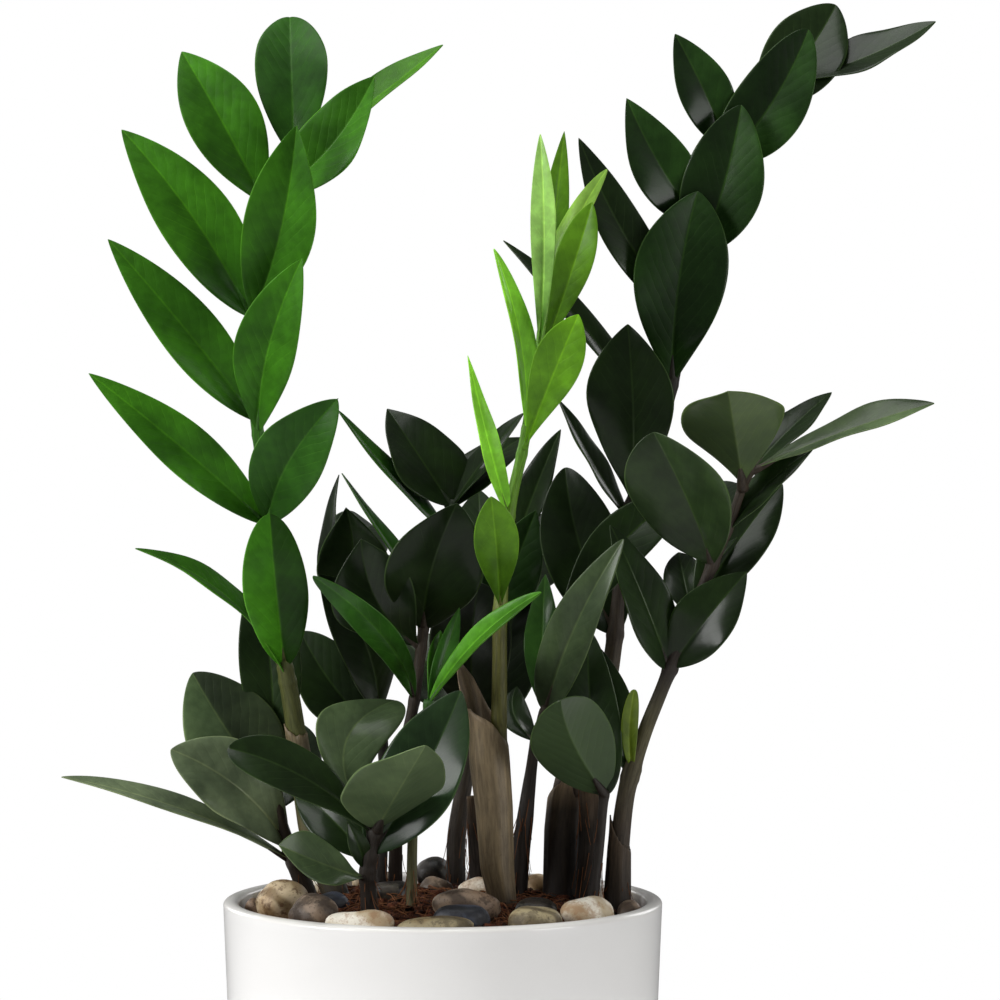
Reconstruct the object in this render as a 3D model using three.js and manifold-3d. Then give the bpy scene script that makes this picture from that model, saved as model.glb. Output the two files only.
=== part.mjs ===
// A ZZ plant in a white glazed pot, dressed with river pebbles.
// Millimetres, +Z up, origin at the middle of the pot's flat base.
import * as THREE from "three";
import { mergeVertices } from "three/addons/utils/BufferGeometryUtils.js";
import Module from "manifold-3d";

// The pot: a plain tapered cylinder with a rounded lip.
const POT_HEIGHT = 140;
const RIM_RADIUS = 80;
const BASE_RADIUS = 74;
const WALL = 5.5;
const FLOOR = 8;
const LIP_RISE = 1.7;
const FOOT_ROUND = 5;
const POT_SIDES = 48;

// The soil: fills the pot and rises a little in the middle.
const SOIL_EDGE = 133;
const SOIL_MIDDLE = 140;
const SOIL_RINGS = 3;

// Clearance between pieces that touch.
const GAP = 0.3;

// Stems and leaflets.
const STEM_SIDES = 6;
const STEM_STEP = 26;
const BLADE_ROWS = 6;
const BLADE_THICK = 1.5;
const ARCH = 0.07;
const FOLD = 17;
const BELLY = 0.47;
const PLUMP = 0.85;

// Places on the plant are written as they line up on its middle plane, y = 0, for someone who
// stands a little over a metre in front. The second number is the depth, and spreadFromSight
// carries each point along its line of sight to that depth.
const SIGHT_X = 20.8;
const SIGHT_Z = 285.2;
const SIGHT_DISTANCE = 1100;

// Each frond: its stem as places with the radius there, from the buried foot to the top, and its
// leaflets. at: height where the leaflet leaves the stem. tip: its point. wide: its greatest
// width. roll: degrees that its upper side is turned from the front to the right. arch and sway:
// how far its midrib bows towards its upper side and to the left, as shares of its length.
// The young shoot is as thick low down as its papery sheath, and its first row is the sheath's flap.
const FRONDS = {
  frond_left_tall: {
    stem: [[-37, 10, 96, 5.2], [-38.5, 11, 139, 4.6], [-48, 14, 165, 4.2], [-53, 13, 196, 3.6],
      [-55.5, 8, 212, 3.4], [-58, 3, 226, 2.6], [-62, -5, 256, 2.4], [-65.5, -12, 290, 2.2],
      [-69, -19, 325, 2], [-70, -25, 360, 1.8], [-67.5, -28, 386, 1.5], [-60, -29, 403, 1.3],
      [-53, -29, 413, 1.1]],
    leaves: [
      { at: 219, tip: [-112.5, -14, 267.5], wide: 20, roll: 70, arch: 0.12 },
      { at: 224, tip: [-63.5, -34, 279], wide: 25, roll: -4, belly: 0.6, plump: 0.5 },
      { at: 276, tip: [-129.5, -30, 331.5], wide: 21, roll: 12 },
      { at: 276, tip: [-39.5, -58, 321], wide: 29, roll: -9, sway: 0.05, belly: 0.57, plump: 0.72 },
      { at: 314, tip: [-122.5, -32, 380.5], wide: 24, roll: 10 },
      { at: 309, tip: [-51.5, -56, 373.5], wide: 26, roll: -18, sway: 0.03, belly: 0.54 },
      { at: 352, tip: [-117.5, -30, 420.5], wide: 30, roll: 8, sway: -0.03 },
      { at: 352, tip: [-53.5, -60, 422], wide: 30, roll: -14, sway: -0.06, belly: 0.54 },
      { at: 393, tip: [-95.5, -24, 449], wide: 30, roll: 10, belly: 0.53 },
      { at: 396, tip: [-25, -46, 440], wide: 26, roll: -24, sway: -0.12, belly: 0.54 },
      { at: 411, tip: [-56, -2, 461.5], wide: 29, roll: 0, arch: 0.1, belly: 0.55, plump: 0.6 },
      { at: 411, tip: [0, -20, 451.5], wide: 23, roll: -62, arch: -0.02 },
    ],
  },
  frond_left_low: {
    stem: [[-44, 30, 96, 4], [-49, 28, 139, 3.6], [-53, 26, 150, 3.2], [-58.5, 22, 165, 2.4],
      [-62, 20, 180, 1.8], [-63, 20, 193, 1.3]],
    leaves: [
      { at: 153, tip: [-139.5, -6, 184], wide: 18, roll: 68, arch: 0.05, sway: 0.02, belly: 0.56 },
      { at: 157, tip: [-99.5, 4, 194], wide: 31.5, roll: 28, sway: -0.06, belly: 0.6, plump: 0.68 },
      { at: 178, tip: [-91.5, 20, 222], wide: 37, roll: 16, sway: 0.05, plump: 0.7 },
      { at: 172, tip: [-54, 72, 205], wide: 24, roll: 10 },
      { at: 192, tip: [-70, 30, 258], wide: 24, roll: 0, sway: -0.05 },
    ],
  },
  frond_front_left: {
    stem: [[-26, -32, 96, 4.6], [-27, -35, 136, 3.3], [-27.5, -38, 150, 2.6], [-24.5, -41, 165, 2.2]],
    leaves: [
      { at: 147, tip: [-60, -74, 159], wide: 21, roll: 34, sway: 0.07, belly: 0.7 },
      { at: 150, tip: [-35, -44, 168], wide: 8, roll: 10 },
      { at: 154, tip: [-54, -20, 181], wide: 20, roll: 12 },
      { at: 156, tip: [6.5, -36, 215.5], wide: 33, roll: -17, sway: -0.06, plump: 0.72 },
      { at: 163, tip: [-17.5, -18, 212], wide: 30, roll: 18, sway: 0.33, belly: 0.7, plump: 0.67 },
      { at: 163, tip: [-78.6, -52, 194.6], wide: 21, roll: 25, sway: -0.05, belly: 0.68, plump: 0.5 },
      { at: 165, tip: [-6.5, -92, 195.5], wide: 40, roll: 216,
        arch: -0.02, sway: -0.02, belly: 0.42, plump: 0.8 },
    ],
  },
  frond_front_small: {
    stem: [[-12, -15, 96, 2.6], [-11.5, -17, 138, 2], [-11, -18, 165, 1.8], [-9, -20, 190, 1.7],
      [-5, -23, 212, 1.5]],
    leaves: [
      { at: 211, tip: [36, -44, 251.5], wide: 9.7, roll: -42,
        arch: 0.03, sway: 0.06, belly: 0.53, plump: 0.6 },
      { at: 211, tip: [-1, -10, 237.5], wide: 8, roll: 29, sway: 0.04, belly: 0.56 },
      { at: 210, tip: [6, -13, 246], wide: 8, roll: 6 },
    ],
  },
  frond_mid_left: {
    stem: [[-17, 28, 96, 3.6], [-17.5, 26, 143, 2.7], [-17, 18, 165, 2.3], [-15, 10, 190, 2.1],
      [-10.5, 4, 212, 2], [-7.5, 1, 235, 1.9], [-5, 0, 255, 1.6], [-1.5, 0, 272, 1.4],
      [4, 1, 285, 1.2]],
    leaves: [
      { at: 212, tip: [-47.5, -36, 257.5], wide: 13, roll: -22, sway: -0.12, belly: 0.58, plump: 0.6 },
      { at: 231, tip: [-30, -18, 271], wide: 33.5, roll: -17, sway: 0.1, belly: 0.59, plump: 0.95 },
      { at: 238, tip: [5, -26, 284], wide: 38, roll: 14, sway: 0.07, belly: 0.53, plump: 0.74 },
      { at: 250, tip: [-37, 8, 295], wide: 12, roll: 67, arch: 0.01, sway: 0.06, belly: 0.35 },
      { at: 275, tip: [-38.5, -8, 318], wide: 13.5, roll: 65,
        arch: 0.01, sway: 0.06, belly: 0.37, plump: 0.73 },
      { at: 283, tip: [-20.5, 12, 318.5], wide: 34, roll: 41, sway: 0.06, belly: 0.38, plump: 0.92 },
      { at: 283, tip: [29.5, 8, 317], wide: 15, roll: -58, arch: 0.02 },
      { at: 282, tip: [29, 26, 308], wide: 20, roll: -40 },
    ],
  },
  frond_back_left: {
    stem: [[-22, 40, 96, 3.8], [-23, 40, 142, 2.5], [-22, 44, 170, 2.2], [-22, 46, 195, 2],
      [-27, 44, 217, 1.9], [-34, 42, 238, 1.7], [-39, 40, 256, 1.5], [-40, 38, 268, 1.3]],
    leaves: [
      { at: 205, tip: [-45.5, 4, 258], wide: 28, roll: 30, sway: -0.06, belly: 0.55 },
      { at: 198, tip: [-52, 54, 237], wide: 29, roll: 20, sway: 0.08, plump: 0.7 },
      { at: 232, tip: [-38, 44, 294.5], wide: 17, roll: -62,
        arch: 0.08, sway: 0.03, belly: 0.43, plump: 1 },
      { at: 236, tip: [-14, 88, 262], wide: 27, roll: 4 },
      { at: 250, tip: [-35.5, 14, 282.5], wide: 28, roll: 6, sway: -0.08, plump: 0.97 },
      { at: 262, tip: [-26, 84, 276], wide: 24, roll: -8 },
    ],
  },
  frond_back_centre: {
    stem: [[3, 44, 96, 4.4], [4.7, 44, 146, 3.5], [4.9, 45, 162, 3.4], [7.5, 46, 180, 3],
      [11, 48, 200, 2.6], [15, 49, 222, 2.3], [20, 49, 245, 1.9], [25, 48, 265, 1.5],
      [28, 47, 279, 1.2]],
    leaves: [
      { at: 206, tip: [13, 24, 255], wide: 32, roll: -9, sway: 0.03, belly: 0.61, plump: 0.45 },
      { at: 206, tip: [-14, 102, 234], wide: 27, roll: 6 },
      { at: 196, tip: [31, 64, 258], wide: 32, roll: -4, plump: 0.7 },
      { at: 226, tip: [13, 104, 289], wide: 28, roll: 0 },
      { at: 240, tip: [34, 34, 281.5], wide: 22, roll: -4 },
      { at: 246, tip: [43, 106, 279], wide: 28, roll: -4 },
      { at: 264, tip: [43, 34, 311], wide: 15, roll: -34, arch: 0.02 },
    ],
  },
  frond_front_centre: {
    stem: [[27.5, 9, 96, 3.8], [27.3, 8, 137, 3.5], [28.2, 6, 155, 3.4], [30, 4, 170, 2.9],
      [32, 3, 185, 2.1], [34, 1, 198, 1.8], [38, -2, 210, 1.6]],
    leaves: [
      { at: 197, tip: [27, 20, 217], wide: 12, roll: 0, sway: 0.15 },
      { at: 206, tip: [91, 11, 290], wide: 22, roll: -9, sway: 0.11, belly: 0.7, plump: 0.93 },
      { at: 208, tip: [37.5, 12, 258], wide: 14, roll: -16 },
      { at: 208, tip: [66, -30, 271], wide: 20, roll: -24, sway: 0.01, belly: 0.39, plump: 0.7 },
    ],
  },
  frond_right_tall: {
    stem: [[43, 14, 96, 6.6], [43.4, 12, 140, 6], [43.6, 12, 165, 5.9], [46.5, 13, 185, 5.3],
      [54, 14, 203, 4.3], [60, 15, 219, 3.4], [62.5, 16, 233, 3], [64.5, 17, 253, 2.9],
      [68, 18, 280, 2.6], [75.5, 19, 300, 2.4], [82.5, 20, 322, 2.1], [87.5, 21, 345, 2],
      [92, 22, 366, 1.9], [97, 23, 388, 1.7], [103, 24, 408, 1.5], [112, 26, 424, 1.3],
      [123, 28, 434, 1.2], [131, 29, 440, 1.1]],
    leaves: [
      { at: 236, tip: [44.5, 32, 297], wide: 31, roll: 10, sway: 0.06, belly: 0.47, plump: 0.65 },
      { at: 278, tip: [42, 16, 322], wide: 15, roll: 64, arch: 0.01, sway: 0.05 },
      { at: 283, tip: [67.5, 2, 349.5], wide: 34.5, roll: -15, sway: -0.04, belly: 0.61, plump: 0.88 },
      { at: 310, tip: [22, 34, 380], wide: 17, roll: 58, arch: 0.05, sway: 0.02 },
      { at: 327, tip: [93, 12, 398], wide: 36, roll: 4, sway: 0.04, belly: 0.59, plump: 0.75 },
      { at: 350, tip: [49.5, 12, 417.5], wide: 18, roll: 14, sway: 0.06, belly: 0.5 },
      { at: 375, tip: [109, 14, 429.5], wide: 31.5, roll: -9, sway: -0.04, belly: 0.48, plump: 0.71 },
      { at: 384, tip: [67, 14, 432], wide: 23.5, roll: 9, sway: 0.05, plump: 0.9 },
      { at: 410, tip: [133.5, 19, 457], wide: 28, roll: -5, sway: -0.06, belly: 0.43, plump: 0.58 },
      { at: 412, tip: [84.7, 18, 455.5], wide: 20.5, roll: 8, sway: -0.01, belly: 0.49 },
      { at: 428, tip: [143.5, 46, 466], wide: 30, roll: -11, sway: -0.05, belly: 0.5, plump: 0.7 },
      { at: 439, tip: [180, 34, 460], wide: 24, roll: -58, arch: -0.05 },
    ],
  },
  frond_front_right: {
    stem: [[53, -15, 96, 2.6], [55, -14, 141, 2.1], [57, -13, 158, 1.8], [59, -12, 179, 1.6]],
    leaves: [
      { at: 178, tip: [43, -62, 212], wide: 31.5, roll: 179, sway: -0.04, plump: 0.63 },
      { at: 177, tip: [53, 0, 238], wide: 21.5, roll: 1, sway: 0.03, belly: 0.4, plump: 0.67 },
    ],
  },
  frond_right: {
    stem: [[63, 4, 96, 4.8], [63.7, 2, 140, 3.8], [64.5, 0, 158, 3.6], [67.3, -2, 180, 3.2],
      [73.5, -4, 200, 2.7], [79.5, -6, 215, 2.5], [84, -7, 226, 2.4], [89, -8, 238, 2.2],
      [94, -9, 251, 2.1], [99.5, -10, 264, 2], [105, -11, 277, 1.8], [109.5, -12, 290, 1.6],
      [113.5, -13, 298, 1.3]],
    leaves: [
      { at: 184, tip: [56.5, 2, 232], wide: 14, roll: 12 },
      { at: 187, tip: [69.8, -20, 216], wide: 6.5, roll: 0, sway: 0.04, belly: 0.62, plump: 0.4 },
      { at: 223, tip: [61, -12, 276], wide: 21, roll: 30, sway: 0.02, belly: 0.4, plump: 0.81 },
      { at: 224, tip: [111, -14, 259], wide: 24, roll: -14 },
      { at: 243, tip: [86, 14, 266], wide: 16, roll: 0 },
      { at: 247, tip: [124, 16, 291], wide: 24, roll: -14 },
      { at: 261, tip: [77, -38, 310], wide: 43, roll: -34, sway: -0.08, belly: 0.62, plump: 0.65 },
      { at: 262, tip: [104, 56, 292], wide: 24, roll: -6 },
      { at: 274, tip: [135, -6, 303.5], wide: 14, roll: -44 },
      { at: 290, tip: [104, -66, 325], wide: 40, roll: 177, belly: 0.53, plump: 1.2 },
      { at: 296, tip: [142, 12, 324.5], wide: 17, roll: -48, arch: 0.02 },
      { at: 296, tip: [179.5, -26, 320.5], wide: 23, roll: -66, arch: 0.03, sway: -0.02, belly: 0.63 },
    ],
  },
  shoot_centre: {
    stem: [[19.5, -12, 96, 6.4], [20, -12, 138, 6], [19.8, -13, 155, 6.2], [19, -13, 172, 6.6],
      [18.6, -13, 188, 6.4], [19.8, -13, 202, 4.6], [20.6, -13, 215, 2.8], [20.8, -13, 240, 2.6],
      [22, -13, 262, 2.4], [25, -13, 285, 2.1], [29, -13, 303, 1.9], [32, -13, 320, 1.7],
      [35, -13, 340, 1.5], [37, -13, 355, 1.2]],
    leaves: [
      { at: 170, tip: [7, -14, 226], wide: 14, roll: -8, arch: 0.02, belly: 0.5 },
      { at: 245, tip: [17.5, -40, 286.5], wide: 17.5, roll: 7, belly: 0.67, plump: 0.74 },
      { at: 279, tip: [9, -22, 338], wide: 9.7, roll: 39, sway: 0.07, belly: 0.41, plump: 1 },
      { at: 302, tip: [49.5, -40, 353], wide: 19, roll: -5, belly: 0.7, plump: 0.77 },
      { at: 311, tip: [18.5, -24, 377], wide: 16, roll: 60, sway: 0.02, plump: 0.75 },
      { at: 334, tip: [54.5, -34, 394], wide: 15, roll: -11, sway: -0.03, belly: 0.7, plump: 0.8 },
      { at: 340, tip: [35.5, -28, 419], wide: 10.2, roll: -12, sway: -0.036, belly: 0.58, plump: 0.8 },
      { at: 346, tip: [60, -20, 406], wide: 13.5, roll: -44, sway: 0.01, plump: 0.63 },
      { at: 350, tip: [44.3, -10, 420], wide: 11, roll: 0, arch: 0.04 },
    ],
  },
};

// Brown stalks of spent fronds, cut off above the soil.
const OLD_STALKS = {
  old_stalk_right: [[50.5, -1, 96, 4.4], [52, -2, 140, 3.6], [53.3, -2, 160, 4], [54, -1, 181, 4.4]],
  old_stalk_back: [[13, 30, 96, 3.4], [12.6, 30, 140, 2.8], [11.6, 29, 160, 2.4], [10.6, 28, 177, 2]],
};

// The buried rhizome: tubers grown together. Each is a middle and three half sizes.
const TUBERS = [
  [-41, 18, 92, 22, 22, 17],
  [-20, -22, 92, 20, 19, 15],
  [-16, 34, 92, 20, 16, 15],
  [8, 34, 93, 20, 18, 14],
  [5, 3, 91, 26, 25, 14],
  [36, 2, 93, 22, 20, 16],
  [56, -4, 92, 14, 16, 15],
];

// River pebbles on the soil: place across and in depth, three half sizes, turn about the
// vertical in degrees, share of the height that stands above the soil, and colour.
const CREAM = "#d9d0bd";
const BEIGE = "#bfae8e";
const BROWN = "#85705a";
const OLIVE = "#8f8462";
const SLATE = "#4c5263";
const DARK = "#3a3532";
const PEBBLES = [
  [-57.5, -21, 10, 8, 8.5, 12, 1.1, BEIGE],
  [-69.3, 1, 3.4, 5, 4.2, 0, 0.8, BROWN],
  [-44.5, -41, 9.5, 7.5, 7.5, -35, 1.0, BROWN],
  [-27.5, -60.5, 12, 6, 6.6, -14, 1.0, CREAM],
  [-1.5, -65.5, 14.5, 5.4, 5, 0, 1.1, OLIVE],
  [7.5, -53.5, 10, 5.6, 6.2, 6, 0.9, SLATE],
  [9.5, -38, 13.5, 7, 7.6, 4, 0.9, BROWN],
  [-19.5, 0, 8.2, 6.2, 4.6, 8, 0.9, DARK],
  [-40, -15, 7, 6, 4.8, 20, 0.9, SLATE],
  [33.5, -51, 10, 7.5, 6, 14, 0.9, OLIVE],
  [28, -63.5, 5, 3.2, 3.4, 22, 0.8, CREAM],
  [51.5, -37, 10.5, 6.2, 6.8, 30, 1.0, CREAM],
  [34, -27, 8, 6, 4.6, -20, 0.8, DARK],
  [34.6, 26, 7, 6, 5.2, 10, 1.0, BEIGE],
  [34, 46, 8, 6, 5, -8, 0.9, CREAM],
  [-5.5, 57, 7.6, 6.2, 7.2, 0, 1.2, DARK],
  [-46, 45, 7, 5.4, 5.6, 40, 1.0, CREAM],
  [-62, 21, 5, 7.2, 5, 10, 0.9, OLIVE],
  [-29, 59, 8.4, 5.6, 5.6, 24, 1.0, BEIGE],
  [15, 62, 9, 5.8, 5.2, -12, 1.0, BROWN],
  [50, 42, 8.6, 6, 5.6, -46, 1.0, OLIVE],
  [63, 22, 5.4, 8, 5.4, 16, 0.9, BEIGE],
  [67.4, -13, 4.6, 7.2, 4.8, -8, 0.9, BROWN],
  [12.5, 11.5, 7.6, 6, 4.6, -30, 0.9, CREAM],
  [-3, 22, 6.6, 5.4, 4.2, 12, 0.8, BROWN],
];

const LEAF_GREEN = "#1f5a1c";
const DARK_GREEN = "#1a3a16";
const YOUNG_GREEN = "#6aa52c";
const FROND_COLOURS = {
  frond_left_tall: LEAF_GREEN,
  frond_front_small: YOUNG_GREEN,
  shoot_centre: YOUNG_GREEN,
};

const wasm = await Module();
wasm.setup();

/** A closed geometry as a solid that can be joined and cut. */
function toSolid(geometry) {
  const bare = geometry.clone();
  bare.deleteAttribute("normal");
  bare.deleteAttribute("uv");
  const merged = mergeVertices(bare, 1e-4);
  const corners = merged.index.array;
  const kept = [];
  for (let i = 0; i < corners.length; i += 3) {
    const [a, b, c] = corners.slice(i, i + 3);
    if (a !== b && b !== c && c !== a) kept.push(a, b, c);
  }
  const vertProperties = merged.attributes.position.array;
  return new wasm.Manifold(new wasm.Mesh({ numProp: 3, vertProperties, triVerts: new Uint32Array(kept) }));
}

/** A solid as a geometry for a mesh. */
function toGeometry(solid) {
  const mesh = solid.getMesh();
  const geometry = new THREE.BufferGeometry();
  geometry.setAttribute("position", new THREE.BufferAttribute(mesh.vertProperties, 3));
  geometry.setIndex(new THREE.BufferAttribute(mesh.triVerts, 1));
  return geometry;
}

/** Applies change(point) to every vertex of a geometry. */
function reshape(geometry, change) {
  const places = geometry.attributes.position;
  const point = new THREE.Vector3();
  for (let i = 0; i < places.count; i += 1) {
    point.fromBufferAttribute(places, i);
    change(point);
    places.setXYZ(i, point.x, point.y, point.z);
  }
  return geometry;
}

/** Moves a point of the plant from the middle plane to its depth, along its line of sight. */
function spreadFromSight(point) {
  const spread = 1 + point.y / SIGHT_DISTANCE;
  point.x = SIGHT_X + (point.x - SIGHT_X) * spread;
  point.z = SIGHT_Z + (point.z - SIGHT_Z) * spread;
}

/** The pot's outer radius at a height. */
function potRadius(z) {
  return BASE_RADIUS + (RIM_RADIUS - BASE_RADIUS) * (z / POT_HEIGHT);
}

/** A profile in radius and height, turned about the vertical. */
function turned(points) {
  return toSolid(new THREE.LatheGeometry(points, POT_SIDES).rotateX(Math.PI / 2));
}

/** The pot: flat base, rounded foot, tapered wall, rounded lip, open inside. */
function makePot() {
  const wallTop = POT_HEIGHT - LIP_RISE;
  const outerTop = potRadius(wallTop);
  const innerFoot = potRadius(FLOOR) - WALL;
  const profile = new THREE.Path();
  profile.moveTo(0, 0);
  profile.lineTo(BASE_RADIUS - FOOT_ROUND, 0);
  profile.quadraticCurveTo(BASE_RADIUS, 0, potRadius(FOOT_ROUND), FOOT_ROUND);
  profile.lineTo(outerTop, wallTop);
  profile.absellipse(outerTop - WALL / 2, wallTop, WALL / 2, LIP_RISE, 0, Math.PI);
  profile.lineTo(innerFoot, FLOOR + FOOT_ROUND);
  profile.quadraticCurveTo(innerFoot, FLOOR, innerFoot - FOOT_ROUND, FLOOR);
  profile.lineTo(0, FLOOR);
  return turned(profile.getPoints(3));
}

/** The height of the soil at a place, before anything is set into it. */
function soilHeight(x, y) {
  const reach = Math.hypot(x, y) / (potRadius(SOIL_EDGE) - WALL);
  return SOIL_MIDDLE - (SOIL_MIDDLE - SOIL_EDGE) * reach * reach;
}

/** The soil as a plug that fills the pot, before its holes. */
function makeSoilPlug() {
  const foot = FLOOR + GAP;
  const innerFoot = potRadius(FLOOR) - WALL - GAP;
  const edge = potRadius(SOIL_EDGE) - WALL - GAP;
  const profile = new THREE.Path();
  profile.moveTo(0, foot);
  profile.lineTo(innerFoot - FOOT_ROUND, foot);
  profile.quadraticCurveTo(innerFoot, foot, innerFoot, foot + FOOT_ROUND);
  const points = profile.getPoints(3);
  for (let i = 0; i <= SOIL_RINGS; i += 1) {
    const radius = edge * (1 - i / SOIL_RINGS);
    points.push(new THREE.Vector2(radius, soilHeight(radius, 0)));
  }
  return turned(points);
}

/** The line of a stem through its places. */
function stemLine(stem) {
  return new THREE.CatmullRomCurve3(stem.map(([x, y, z]) => new THREE.Vector3(x, y, z)));
}

/** The radius at a share of the way along a stem, straight from one place to the next. */
function stemRadius(stem, u) {
  const step = Math.min(Math.floor(u * (stem.length - 1)), stem.length - 2);
  const share = u * (stem.length - 1) - step;
  return THREE.MathUtils.lerp(stem[step][3], stem[step + 1][3], share);
}

/** A round stalk through its places, grown by extra all round for the hole that it stands in. */
function makeStalk(stem, extra = 0) {
  const line = stemLine(stem);
  const steps = Math.max(4, Math.round(line.getLength() / STEM_STEP));
  const geometry = new THREE.CylinderGeometry(1, 1, 1, STEM_SIDES, steps);
  const east = new THREE.Vector3(1, 0, 0);
  reshape(geometry, (point) => {
    const u = point.y + 0.5;
    const tangent = line.getTangent(u);
    const across = east.clone().projectOnPlane(tangent).normalize();
    const back = across.clone().cross(tangent);
    const radius = stemRadius(stem, u) + extra;
    const middle = line.getPoint(u);
    if (u === 0) middle.z -= extra;
    middle.addScaledVector(across, point.z * radius);
    point.copy(middle.addScaledVector(back, -point.x * radius));
  });
  return toSolid(reshape(geometry, spreadFromSight));
}

/** The point of a rising line at a height, by halving. */
function pointAtHeight(line, height) {
  let low = 0;
  let high = 1;
  for (let i = 0; i < 24; i += 1) {
    const middle = (low + high) / 2;
    if (line.getPoint(middle).z < height) low = middle;
    else high = middle;
  }
  return line.getPoint(low);
}

/**
 * Half the width of a leaflet along its midrib, as a share of its greatest: a pointed oval that
 * is widest at the belly. A smaller plump gives a blunter one.
 */
function bladeOutline(t, belly, plump) {
  const even = t ** (Math.log(0.5) / Math.log(belly));
  return Math.sin(Math.PI * even) ** plump;
}

/**
 * A leaflet: a ball with a four-sided section, drawn out along an arched midrib into a blade
 * whose two halves rise from the midrib at the fold angle.
 */
function makeLeaflet(root, leaf) {
  const { tip, wide, roll, arch = ARCH, sway = 0, belly = BELLY, plump = PLUMP } = leaf;
  const end = new THREE.Vector3(...tip);
  const along = end.clone().sub(root).normalize();
  const length = end.distanceTo(root);
  const front = new THREE.Vector3(0, -1, 0).projectOnPlane(along).normalize();
  const face = front.clone().applyAxisAngle(along, THREE.MathUtils.degToRad(roll));
  const side = face.clone().cross(along);
  const middle = root.clone().lerp(end, 0.5);
  middle.addScaledVector(face, 2 * arch * length);
  middle.addScaledVector(side, 2 * sway * length);
  const midrib = new THREE.QuadraticBezierCurve3(root, middle, end);
  const fold = THREE.MathUtils.degToRad(FOLD);
  const geometry = new THREE.SphereGeometry(1, 4, BLADE_ROWS + 1);
  reshape(geometry, (point) => {
    const t = (1 - point.y) / 2;
    const ring = Math.hypot(point.x, point.z) || 1;
    const across = point.x / ring;
    const up = point.z / ring;
    const half = (wide / 2) * bladeOutline(t, belly, plump);
    const normal = face.clone().projectOnPlane(midrib.getTangent(t)).normalize();
    const rise = Math.abs(across) * half * Math.sin(fold) + (up * BLADE_THICK) / 2;
    midrib.getPoint(t, point);
    point.addScaledVector(side, across * half * Math.cos(fold));
    point.addScaledVector(normal, rise);
  });
  return toSolid(reshape(geometry, spreadFromSight));
}

/** A frond: its stem with every leaflet rooted in it, as one solid. */
function makeFrond({ stem, leaves }) {
  const line = stemLine(stem);
  const leaflets = leaves.map((leaf) => makeLeaflet(pointAtHeight(line, leaf.at), leaf));
  return leaflets.reduce((frond, leaflet) => frond.add(leaflet), makeStalk(stem));
}

/** A rounded stone with gentle hollows and bulges, grown by extra all round. */
function makeStone(middle, halves, phase, extra = 0) {
  const stone = new THREE.IcosahedronGeometry(1, 1);
  reshape(stone, (point) => {
    const bulge = 1 + 0.06 * Math.sin(2.3 * point.x + phase) + 0.05 * Math.sin(2.9 * point.y - 2 * phase);
    point.multiplyScalar(bulge);
  });
  return stone.scale(...halves.map((half) => half + extra)).translate(...middle);
}

/** One pebble, seated in the soil. */
function makePebble([x, y, a, b, c, turn, proud], index, extra = 0) {
  const stone = makeStone([0, 0, 0], [a, b, c], 1.7 * index, extra);
  stone.rotateZ(THREE.MathUtils.degToRad(turn));
  return toSolid(stone.translate(x, y, soilHeight(x, y) + c * (proud - 0.5)));
}

/** The rhizome: all its tubers grown into one body. */
function makeRhizome(extra = 0) {
  const tubers = TUBERS.map(([x, y, z, ...halves], i) => toSolid(makeStone([x, y, z], halves, i, extra)));
  return tubers.reduce((body, tuber) => body.add(tuber));
}

const plant = new THREE.Group();

/** Adds a named mesh to the plant. */
function place(name, solid, color, roughness) {
  const material = new THREE.MeshStandardMaterial({ color, roughness, metalness: 0 });
  const mesh = new THREE.Mesh(toGeometry(solid), material);
  mesh.name = name;
  plant.add(mesh);
}

const stems = [...Object.values(FRONDS).map(({ stem }) => stem), ...Object.values(OLD_STALKS)];
const rhizomeRoom = makeRhizome(GAP);
let soil = makeSoilPlug().subtract(rhizomeRoom);
for (const stem of stems) {
  soil = soil.subtract(makeStalk(stem, GAP));
}
PEBBLES.forEach((pebble, i) => {
  soil = soil.subtract(makePebble(pebble, i, GAP));
});

place("pot", makePot(), "#f4f4f2", 0.12);
place("soil", soil, "#3b2619", 0.95);
place("rhizome", makeRhizome(), "#8a6a45", 0.8);
for (const [name, frond] of Object.entries(FRONDS)) {
  place(name, makeFrond(frond).subtract(rhizomeRoom), FROND_COLOURS[name] ?? DARK_GREEN, 0.3);
}
for (const [name, stem] of Object.entries(OLD_STALKS)) {
  place(name, makeStalk(stem).subtract(rhizomeRoom), "#4a3a2c", 0.85);
}
PEBBLES.forEach((pebble, i) => {
  place(`pebble_${String(i + 1).padStart(2, "0")}`, makePebble(pebble, i), pebble.at(-1), 0.55);
});

export default plant;
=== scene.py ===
# %% [markdown]
# # A ZZ plant in a white glazed pot
#
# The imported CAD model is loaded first. It holds the plain form of every piece, at its real size
# and place, in metres, with +Z up. This lesson puts finer pieces in the place of those forms,
# one part of the plant at a time, and gives each its finish.

# %% Load the frame
import math

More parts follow.
